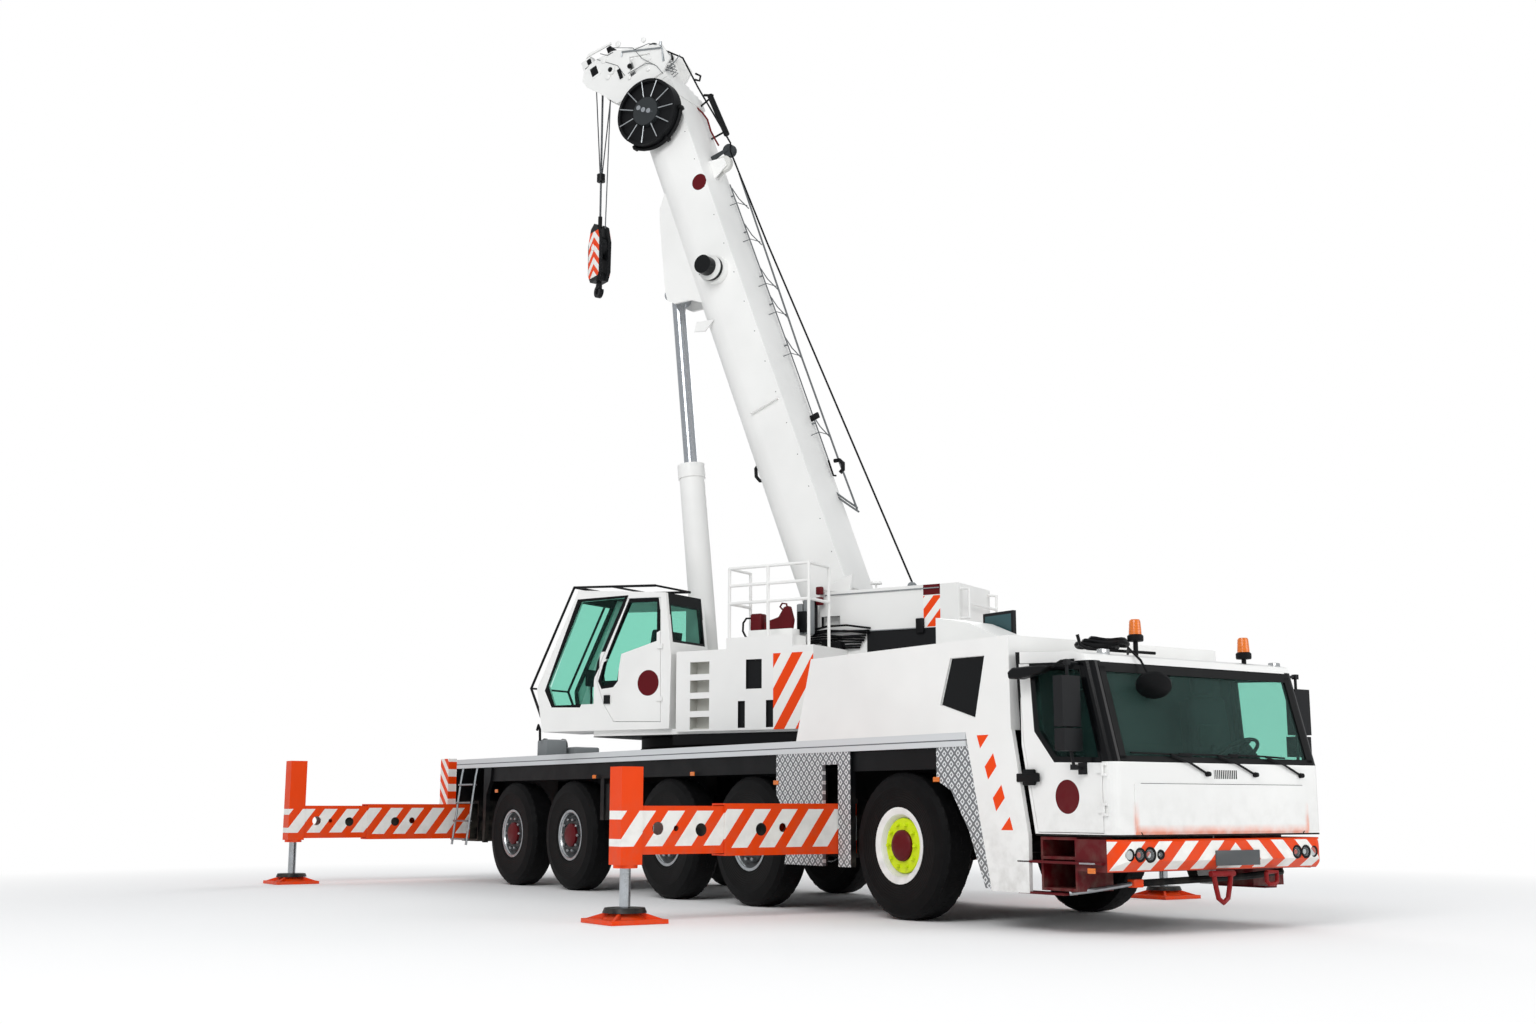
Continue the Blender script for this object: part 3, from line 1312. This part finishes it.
# %% Hoses under the winch cover
random.seed(7)
hoses = []
for k in range(9):
    z = 2.99 + 0.028 * k
    start = Vector((-1.76 - 0.02 * k, 0.50 + 0.012 * (k % 3), z))
    hoses.append(pipe([start, start + Vector((-0.20, 0.05, 0.02 + random.uniform(-0.02, 0.02))),
                       start + Vector((-0.45, 0.03, random.uniform(-0.03, 0.03))),
                       start + Vector((-0.75, -0.02, -0.02))], 0.014))
settle(hoses, "hydraulic_hoses", black_satin, "superstructure")
mast = lathe([(0, 3.58), (0.012, 3.58), (0.012, 3.74), (0.075, 3.745), (0.06, 3.775), (0, 3.79)],
             (-2.68, 0.36, 0), steps=20)
settle(mast, "antenna_cap", white_plain, "superstructure")
anchor = [block((-3.06, -0.05, 3.60), (-2.92, 0.05, 3.69), 0.012),
          lathe([(0, -0.03), (0.05, -0.03), (0.055, 0), (0.05, 0.03), (0, 0.03)],
                (-2.99, 0, 3.74), (0, 1, 0), 20)]
settle(anchor, "rope_guide_on_cover", bare_steel, "superstructure")

# %% Fairing at the boom's foot
fairing = plate([(-1.95, 0.40, 3.70), (-2.36, 0.40, 3.66), (-2.40, 0.40, 3.88),
                 (-1.98, 0.40, 3.74)], (0, 0.05, 0), 0.006)
settle(fairing, "boom_foot_fairing", white_plain, "superstructure")

# %% Valve blocks, rails and edges of the winch cover
deep = [block((-2.30, 0.465, 2.905), (-2.04, 0.60, 3.05), 0.01),
        block((-1.93, 0.47, 3.20), (-1.78, 0.60, 3.58), 0.02),
        block((-3.37, 0.42, 3.10), (-3.27, 0.50, 3.28), 0.01)]
settle(deep, "valve_blocks_below", black_satin, "superstructure")
end_frame = [pipe([(-3.61, t, 3.26), (-3.93, t, 3.26), (-3.93, t, 3.60), (-3.61, t, 3.64)], 0.02)
             for t in (0.40, -0.40)]
end_frame.append(pipe([(-3.93, 0.40, 3.43), (-3.93, -0.40, 3.43)], 0.016))
settle(end_frame, "winch_end_rails", white_plain, "superstructure")
cap_line = [block((-3.57, 0.462, 3.628), (-2.02, 0.476, 3.642), 0.004),
            block((-3.35, 0.462, 3.16), (-1.98, 0.474, 3.172), 0.003)]
settle(cap_line, "winch_cover_edges", grey_steel, "superstructure")
lugs = [block((s, 0.30, 3.635), (s + 0.12, 0.36, 3.665), 0.006) for s in (-3.05, -2.88, -2.55)]
settle(lugs, "winch_cover_lugs", bare_steel, "superstructure")

# %% Equipment at the deck's rear
unit = [block((-4.60, -0.95, 1.75), (-4.30, -0.62, 2.00), 0.03),
        block((-4.52, -0.55, 1.75), (-4.20, -0.15, 1.90), 0.03)]
settle(unit, "deck_box", grey_steel, "carrier")
settle(lathe([(0, -0.16), (0.12, -0.16), (0.12, -0.13), (0.07, -0.12), (0.07, 0.12), (0.12, 0.13),
              (0.12, 0.16), (0, 0.16)], (-4.75, -0.60, 1.91), (0, 1, 0), 24), "deck_hose_drum",
       black_satin, "carrier")
settle(pipe([(-4.40, -1.0, 1.98), (-4.41, -1.0, 2.14), (-4.46, -1.0, 2.20), (-4.50, -1.0, 2.13)],
            0.02), "deck_hook", black_satin, "carrier")
print("superstructure fittings done")

# %% [markdown]
# ## Rods and ropes on the boom
# The back of the boom carries two rods on small braces, and the hoist rope runs beside them. The
# rope crosses two joints, so it is drawn in two lengths, each bending with the joint it crosses.

# %% Rods along the boom's back
rod_grey = paint("grey primed rods", "#6B6E70", rough=0.45, dust=0.0)
SIDE = -0.28      # the rods run to the right of the boom's middle
rods = [pipe([(1.70, SIDE, 0.52), (2.43, SIDE, 0.508), (3.98, SIDE, 0.505), (6.93, SIDE, 0.552)],
             0.013),
        pipe([(2.49, SIDE, 0.372), (3.72, SIDE, 0.377), (6.86, SIDE, 0.365)], 0.009)]
for s in (2.75, 3.95, 4.60, 5.05, 5.77, 6.37):
    rods.append(pipe([(s, SIDE, 0.51), (s + 0.22, SIDE, 0.42), (s + 0.42, SIDE, 0.375)], 0.008))
    rods.append(pipe([(s + 0.30, SIDE, 0.375), (s + 0.30, SIDE + 0.02, 0.325)], 0.012))
    rods.append(pipe([(s + 0.05, SIDE, 0.505), (s + 0.12, SIDE + 0.08, 0.42),
                      (s + 0.10, SIDE + 0.16, 0.33)], 0.006))
for s in (1.66, 1.72):
    rods.append(pipe([(s + 0.31, SIDE, 0.325), (s + 0.16, SIDE, 0.42), (s, SIDE, 0.53)], 0.014))
settle(rods, "boom_back_rods", rod_grey, "boom")
clips = [pipe([(2.445, SIDE, 0.445), (2.42, SIDE, 0.52), (2.36, SIDE, 0.55), (2.28, SIDE, 0.52),
               (2.26, SIDE, 0.47)], 0.028),
         pipe([(2.49, SIDE, 0.37), (2.27, SIDE, 0.365), (2.25, SIDE, 0.40)], 0.013),
         block((3.09, SIDE - 0.02, 0.33), (3.17, SIDE + 0.02, 0.46), 0.01),
         pipe([(2.79, 0, -0.475), (2.76, 0, -0.53), (2.66, 0, -0.56), (2.58, 0, -0.53),
               (2.56, 0, -0.475)], 0.024)]
settle(clips, "boom_rope_clips", black_satin, "boom")
ledge = [plate([(3.305, sign * 0.348, -0.156), (3.325, sign * 0.348, -0.156),
                (3.335, sign * 0.348, 0.276), (3.315, sign * 0.348, 0.276)],
               (0, sign * 0.055, 0), 0.004) for sign in (1, -1)]
web = [plate([(4.81, sign * 0.352, -0.24), (4.91, sign * 0.352, -0.50), (4.80, sign * 0.352, -0.58),
              (4.72, sign * 0.352, -0.42)], (0, -sign * 0.02, 0), 0.004) for sign in (1, -1)]
settle(ledge + web, "boom_ledges", white_plain, "boom")

# %% Strut, hoses and clips near the head
strut = [pipe([(8.29, SIDE, 0.535), (7.58, SIDE, 0.575)], 0.042, 16),
         pipe([(8.35, SIDE, 0.45), (8.26, SIDE, 0.58)], 0.018),
         pipe([(8.25, SIDE, 0.54), (8.22, SIDE, 0.33)], 0.014),
         pipe([(7.64, SIDE, 0.57), (7.66, SIDE, 0.33)], 0.014),
         pipe([(8.74, SIDE, 0.44), (8.66, SIDE, 0.50), (8.60, SIDE, 0.46), (8.66, SIDE, 0.40)],
              0.016)]
settle(strut[:4], "boom_strut", black_satin, "boom")
settle(strut[4], "head_hose_clip", black_satin, "boom_head")
red_hose = pipe([(8.16, -0.18, 0.33), (8.06, -0.20, 0.37), (7.93, -0.22, 0.40),
                 (7.74, -0.23, 0.385), (7.55, -0.20, 0.42), (7.40, -0.12, 0.47)], 0.013)
settle(red_hose, "boom_hose", paint("dark red rubber hose", "#6A0F14", rough=0.5, dust=0.0),
       "boom")

# %% Rope sheave and ropes
guide_wheel = lathe([(0, -0.06), (0.05, -0.06), (0.085, -0.055), (0.09, -0.04), (0.075, -0.03),
                     (0.09, -0.02), (0.09, -0.01), (0.075, 0.0), (0.09, 0.01), (0.085, 0.05),
                     (0.05, 0.06), (0, 0.06)], (7.22, -0.12, 0.60), (0, 1, 0), 32)
cheeks = [plate([(7.26, t, 0.33), (7.17, t, 0.33), (7.20, t, 0.61), (7.24, t, 0.61)],
                (0, 0.008, 0), 0) for t in (-0.195, -0.055)]
rope_nylon = paint("dark grey sheave nylon", "#3D4143", rough=0.4, dust=0.0)
settle([guide_wheel] + cheeks, "rope_sheave", rope_nylon, "boom")
ROPE_RADIUS = 0.0125
lower = pipe([(0.415, 0, 1.0), (2.0, 0, 0.912), (4.0, 0, 0.802), (5.6, 0, 0.713),
              (7.13, 0, 0.66)], ROPE_RADIUS)
lower_rope = settle(lower, "hoist_rope_lower", hoist_rope_steel, None, along)
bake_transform(lower_rope)
upper = pipe([(7.13, 0, 0.66), (7.24, 0, 0.703), (7.8, 0, 0.61), (8.3, 0, 0.525),
              (8.88, 0, 0.455), (9.12, 0, 0.27)], ROPE_RADIUS)
upper_rope = settle(upper, "hoist_rope_upper", hoist_rope_steel, None, along)
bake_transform(upper_rope)
print("boom rigging done")

# %% [markdown]
# ## Boom head and hook
# The head's small lamps, bars and antennas break its outline; the reel gets its spokes and guard,
# and the ropes fan out from the ball above the hook block to the sheaves.

# %% Boom head details
HEAD_FACE = 0.286      # t of the head's left cheek

bars = [pipe([(9.345, 0.294, -0.28), (9.0, 0.294, 0.335)], 0.013),
        pipe([(9.345, 0.294, -0.28), (9.28, 0.294, -0.31)], 0.010),
        pipe([(9.0, 0.294, 0.335), (8.80, 0.294, 0.28)], 0.010),
        pipe([(8.70, 0.20, 0.22), (8.80, 0.28, 0.30), (9.06, 0.294, 0.335)], 0.009),
        pipe([(8.70, 0.20, 0.24), (8.73, 0.22, 0.40), (8.78, 0.22, 0.525)], 0.009),
        pipe([(9.05, 0.294, 0.32), (9.10, 0.294, 0.35)], 0.018)]
settle(bars, "head_bars", bare_steel, "boom_head")
dark = [block((9.47, 0.12, -0.50), (9.56, 0.302, -0.42), 0.01),
        block((9.28, HEAD_FACE, -0.86), (9.42, 0.300, -0.74), 0.008),
        block((9.44, 0.20, -0.95), (9.52, 0.26, -0.88), 0.012),
        block((9.54, 0.20, -0.89), (9.62, 0.26, -0.82), 0.012),
        block((8.97, HEAD_FACE, -0.45), (9.13, 0.302, -0.39), 0.004),
        button((9.064, HEAD_FACE, -0.236), 0.036, 0.018),
        button((9.20, HEAD_FACE, -0.54), 0.036, 0.030)]
settle(dark, "head_dark_fittings", black_satin, "boom_head")
light = [block((9.42, 0.13, -1.0), (9.66, 0.24, -0.80), 0.02),
         lathe([(0.038, 0), (0.075, 0), (0.075, 0.022), (0.038, 0.022)], (9.20, HEAD_FACE, -0.54),
               (0, 1, 0), 24),
         block((9.25, 0.22, -0.89), (9.45, 0.294, -0.71), 0.01)]
settle(light, "head_lamp_boxes", white_plain, "boom_head")

# %% Stiffeners, clamps and wires on the head
ribs = [plate([(9.62, t, -0.86), (9.66, t, -0.80), (9.60, t, -0.40), (9.57, t, -0.40),
               (9.62, t, -0.79)], (0, 0.02 if t > 0 else -0.02, 0), 0) for t in (0.283, -0.283)]
for s, n, r in ((9.50, -0.30, 0.045), (9.30, 0.10, 0.04), (9.14, -0.62, 0.05), (9.42, -0.60, 0.05),
                (8.84, 0.02, 0.035), (8.90, -0.30, 0.03)):
    ribs.append(lathe([(0, 0.0), (r, 0.0), (r, 0.014), (r * 0.6, 0.022), (0, 0.022)],
                      (s, HEAD_FACE, n), (0, 1, 0), 20))
settle(ribs, "head_bosses", white_plain, "boom_head")
seam_shade = paint("grey panel seam", "#6F7274", rough=0.6, dust=0.0)
seams = [pipe([(9.52, 0.288, -0.42), (9.30, 0.288, -0.10), (9.06, 0.288, -0.02),
               (8.80, 0.288, 0.16), (8.55, 0.288, 0.24)], 0.005),
         pipe([(9.50, 0.288, -0.70), (9.20, 0.288, -0.42), (8.98, 0.288, -0.36)], 0.005),
         pipe([(9.26, 0.288, -0.10), (9.20, 0.288, 0.16), (9.10, 0.288, 0.27)], 0.005),
         pipe([(8.98, 0.288, -0.30), (8.94, 0.288, 0.02), (8.84, 0.288, 0.14)], 0.005),
         pipe([(9.55, 0.288, -0.62), (9.45, 0.288, -0.52), (9.44, 0.288, -0.42)], 0.006)]
settle(seams, "head_seams", seam_shade, "boom_head")
random.seed(3)
wires = []
for k in range(7):
    s = 8.62 + 0.05 * k
    wires.append(pipe([(s, 0.10, 0.25), (s + random.uniform(-0.02, 0.03), 0.12, 0.36),
                       (s + random.uniform(0.03, 0.08), 0.14, 0.30),
                       (s + 0.10, 0.22, 0.24)], 0.007))
settle(wires, "head_cables", rod_grey, "boom_head")
dark_holes = [button((s, 0.302, n), r, 0.004, 16)
              for s, n, r in ((9.50, -0.30, 0.022), (9.30, 0.10, 0.02), (8.84, 0.02, 0.018),
                              (9.42, -0.60, 0.026))]
settle(dark_holes, "head_pin_ends", black_satin, "boom_head")

# %% Reel spokes and guard
REEL = Vector((8.06, 0, -0.10))
SPOKES = 11
SPOKE_IN, SPOKE_OUT = 0.215, 0.455
SPOKE_SIDE = Vector((0, 0.566, 0))
spokes = []
for k in range(SPOKES):
    angle = 2 * math.pi * (k + 0.35) / SPOKES
    way = Vector((math.cos(angle), 0, math.sin(angle)))
    spokes.append(pipe([REEL + SPOKE_IN * way + SPOKE_SIDE, REEL + SPOKE_OUT * way + SPOKE_SIDE],
                       0.008))
settle(spokes, "reel_spokes", aluminium, "boom")
hub = lathe([(0, 0.575), (0.20, 0.575), (0.205, 0.565), (0.205, 0.50), (0, 0.50)], REEL,
            (0, 1, 0), 40)
settle(hub, "reel_hub", paint("dark grey reel hub", "#2C3032", rough=0.3, dust=0.0, coat=0.4),
       "boom")
eyes = [lathe([(0, 0.575), (0.04, 0.575), (0.035, 0.60), (0, 0.604)],
              REEL + Vector((0.10 * c, 0, 0.10 * s)), (0, 1, 0), 20)
        for c, s in ((0.9, -0.7), (-0.4, 0.6), (0.2, -0.1))]
settle(eyes, "reel_hub_bolts", chrome, "boom")
GUARD_RADIUS, GUARD_SIDE = 0.505, 0.44
CLAMP = Vector((0.03, 0.05, 0.03))      # half the size of the clamps on the guard
arc = [REEL + Vector((GUARD_RADIUS * math.cos(a), GUARD_SIDE, GUARD_RADIUS * math.sin(a)))
       for a in [math.radians(112 + 9 * k) for k in range(14)]]
guard = [pipe(arc, 0.026, 12)]
guard += [block(p - CLAMP, p + CLAMP, 0.01) for p in (arc[0], arc[6], arc[-1])]
settle(guard, "reel_guard", black_satin, "boom")

# %% Hook ropes
ball = turn.inverted() @ hook_at
HOOK_S = ball.x
HOOK_ROPE = 0.0085
fan = [pipe([(HOOK_S, t, 10.02), (HOOK_S + ds, t * 2.5, 11.34)], HOOK_ROPE)
       for ds, t in ((0.075, 0.02), (-0.12, -0.02))]
fan.append(pipe([(HOOK_S - 0.13, 0.05, 9.20), (HOOK_S - 0.19, 0.06, 11.26)], HOOK_ROPE))
hook_ropes = settle(fan, "hook_side_ropes", rope_steel, None, turn)
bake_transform(hook_ropes)
thimble = [lathe([(0, -0.055), (0.03, -0.05), (0.05, 0), (0.03, 0.05), (0, 0.055)],
                 (HOOK_S, 0, 10.0), (0, 0, 1), 20),
           pipe([(HOOK_S, 0, 9.25), (HOOK_S, 0, 9.42)], 0.03, 12)]
settle(thimble, "rope_sockets", black_satin, "hook_block", turn)
latch = pipe([(0.055, 0, 8.37), (0.075, 0, 8.32), (0.06, 0, 8.27)], 0.010)
settle(latch, "hook_latch", bare_steel, "hook_block", hook_turn)
print("head and hook done")

# %% [markdown]
# ## Wheels
# A tyre's tread is four rings of blocks, of which every second one is turned by half a step. One
# wheel's parts are modelled about the origin and copied, with meshes of their own, to all ten. The
# nuts sit in a ring of ten, on a dished disc with a cap over the hub.

# %% Tread and nuts
TREAD_ROWS = ((0.15, 0.325), (0.36, 0.49), (0.51, 0.64), (0.675, 0.85))      # of the tyre's width
TREAD_STEPS = 36
NUT_CIRCLE = 0.205


def tread(y_low, y_high):
    """Four rings of blocks about the origin; the two outer ones lie lower, on the shoulders."""
    parts = []
    width = y_high - y_low
    for row, (a, b) in enumerate(TREAD_ROWS):
        top = TYRE_R + (-0.003 if row in (0, 3) else 0.0015)
        first = block((-0.034, y_low + a * width, TYRE_R - 0.020),
                      (0.034, y_low + b * width, top), 0.006, 1)
        for k in range(TREAD_STEPS):
            angle = 2 * math.pi * (k + 0.5 * (row % 2)) / TREAD_STEPS
            parts.append(copy_mesh(first, turned(angle, "Y")))
        bpy.data.objects.remove(first)
    return join(parts)


def nuts():
    """Ten wheel nuts on their circle, about the origin, facing +y."""
    parts = []
    for k in range(10):
        angle = 2 * math.pi * k / 10
        fresh()
        bpy.ops.mesh.primitive_cylinder_add(vertices=6, radius=0.019, depth=0.05,
                                            location=(NUT_CIRCLE * math.cos(angle), 0,
                                                      NUT_CIRCLE * math.sin(angle)),
                                            rotation=(math.pi / 2, 0, 0))
        apply_place()
        edit()
        bpy.ops.mesh.bevel(offset=0.003, segments=1)
        parts.append(leave())
    return join(parts)


# %% Discs, caps and rings
MIDDLE = (TYRE_Y[0] + TYRE_Y[1]) / 2
NUT_Y = MIDDLE + 0.145      # the nuts stand on the rim's outer plane
yellow_cap = paint("yellow nut ring", "#D4EA1E", rough=0.4, dust=0.05)
dark_disc = paint("dark grey wheel disc", "#3A3D3F", rough=0.45, dust=0.1)
# Name, profile of (radius, distance out from the tyre's middle), finish, and the axles it is on.
FACES = [("nut_plate", [(0.15, 0.060), (0.15, 0.132), (0.255, 0.132), (0.264, 0.120),
                        (0.264, 0.110), (0.245, 0.085)], yellow_cap, (0,)),
         ("nut_plate", [(0.15, 0.060), (0.15, 0.125), (0.228, 0.125), (0.236, 0.115),
                        (0.236, 0.105), (0.22, 0.085)], dark_disc, (1, 2, 3, 4)),
         ("hub_cap", [(0, 0.185), (0.07, 0.184), (0.125, 0.176), (0.148, 0.155), (0.148, 0.10),
                      (0, 0.10)], red_plain, (0, 1, 2, 3, 4)),
         ("rim_ring", [(0.285, 0.120), (0.300, 0.164), (0.352, 0.184), (0.366, 0.182),
                       (0.362, 0.168), (0.306, 0.145)], white_plain, (0,)),
         ("rim_ring", [(0.285, 0.120), (0.296, 0.158), (0.318, 0.164), (0.326, 0.160),
                       (0.322, 0.150), (0.300, 0.140)], aluminium, (1, 2, 3, 4))]
tread_master, nut_master = tread(*TYRE_Y), nuts()
faces = []
for name, profile, finish, axles in FACES:
    line = [(r, MIDDLE + out) for r, out in profile + profile[:1]]
    faces.append((name, lathe(line, (0, 0, 0), (0, 1, 0), 40), finish, axles))

# %% All ten wheels
for axle in range(5):
    for side, sign in (("left", 1), ("right", -1)):
        body = f"wheel_{axle + 1}_{side}"
        mirror = WORLD if sign == 1 else FLIP_Y
        at = shifted(AXLE_X[axle], 0, TYRE_Z) @ mirror
        settle(copy_mesh(tread_master, at), f"tread_{axle + 1}_{side}", tyre_rubber[axle], body)
        settle(copy_mesh(nut_master, shifted(AXLE_X[axle], sign * NUT_Y, TYRE_Z) @ mirror),
               f"nuts_{axle + 1}_{side}", yellow_cap if axle == 0 else bare_steel, body)
        for name, face, finish, axles in faces:
            if axle in axles:
                settle(copy_mesh(face, at), f"{name}_{axle + 1}_{side}", finish, body)
for master in [tread_master, nut_master] + [face[1] for face in faces]:
    bpy.data.objects.remove(master)
print("wheels done")


# %% [markdown]
# ## Seats and controls
# A driver's seat is foam under cloth: a block with wide round edges, puffed a little by a smooth
# subdivision, and its back and head rest lean back. The steering wheel, the dashboard's
# screen and the crane cab's levers show behind the glass.

# %% Seats
seat_cloth = paint("charcoal seat cloth", "#2A2D30", rough=0.85, dust=0.0, coat=0.0)
dash_plastic = paint("dark grey dashboard plastic", "#26292B", rough=0.6, dust=0.0, coat=0.0)


def cushion(name, low, high, body, matrix=None):
    """Foam under cloth, which gives under a hand: bevelled wide, then puffed a little."""
    block(low, high, 0.035, 3)
    edit()
    bpy.ops.mesh.subdivide(number_cuts=1, smoothness=0.15)
    soft = settle(leave(), name, seat_cloth, body, matrix)


def leaning(x, z, degrees):
    """A frame at x and z that leans back by so many degrees."""
    return shifted(x, 0, z) @ turned(math.radians(-degrees), "Y")


for side, y in (("left", 0.75), ("right", -0.75)):
    cushion(f"seat_cushion_{side}", (6.13, y - 0.24, 1.325), (6.60, y + 0.24, 1.43), "carrier")
    cushion(f"seat_back_{side}", (-0.06, y - 0.235, 0.02), (0.06, y + 0.235, 0.70), "carrier",
            leaning(6.255, 1.40, 8))
    cushion(f"head_rest_{side}", (-0.045, y - 0.13, 0.72), (0.045, y + 0.13, 0.90), "carrier",
            leaning(6.25, 1.40, 8))

# %% Steering wheel and dashboard
GRIP_RADIUS = 0.215
angles = [2 * math.pi * k / 24 for k in range(25)]
grip_line = [(GRIP_RADIUS * math.cos(a), GRIP_RADIUS * math.sin(a), 0) for a in angles]
column = shifted(6.52, 0.75, 1.56) @ turned(math.radians(-35), "Y")
wheel_cover = [pipe(grip_line, 0.0175),
               lathe([(0, -0.012), (0.055, -0.012), (0.06, 0), (0.05, 0.02), (0, 0.026)],
                     (0, 0, 0), steps=20)]
settle(wheel_cover, "steering_wheel_cover", black_satin, "carrier", column)
desk = [block((6.62, 0.40, 1.415), (6.86, 1.10, 1.47), 0.02),
        block((6.62, -0.05, 1.41), (6.78, 0.38, 1.53), 0.03),
        block((6.66, -0.95, 1.405), (6.84, -0.60, 1.455), 0.02)]
settle(desk, "dashboard", dash_plastic, "carrier")
post = [pipe([(6.72, 0.17, 1.46), (6.74, 0.17, 1.62)], 0.014),
        block((6.70, 0.03, 1.60), (6.735, 0.31, 1.80), 0.012)]
settle(post, "dashboard_screen", black_satin, "carrier")

# %% Seat, levers, screen and pedals of the crane cab
cushion("operator_seat_cushion", (0.12, 0.68, 2.565), (0.62, 1.12, 2.66), "superstructure")
cushion("operator_seat_back", (-0.055, 0.70, 0.0), (0.055, 1.10, 0.66), "superstructure",
        turn @ leaning(0.185, 2.62, 9))
controls = []
for t in (0.62, 1.18):
    controls.append(pipe([(0.80, t, 2.63), (0.83, t, 2.78)], 0.012))
    controls.append(lathe([(0, -0.03), (0.022, -0.028), (0.028, 0.0), (0.022, 0.035), (0, 0.04)],
                          (0.835, t, 2.79), (0.1, 0, 1), 16))
controls.append(block((1.36, 0.56, 2.62), (1.40, 0.80, 2.84), 0.015))
controls.append(pipe([(1.38, 0.68, 2.09), (1.38, 0.68, 2.64)], 0.016))
for t in (0.78, 1.0):
    controls.append(plate([(1.30, t, 2.10), (1.42, t, 2.20), (1.42, t + 0.12, 2.20),
                           (1.30, t + 0.12, 2.10)], (0.012, 0, -0.012), 0.002))
settle(controls, "operator_controls", black_satin, "superstructure")
print("seats and controls done")
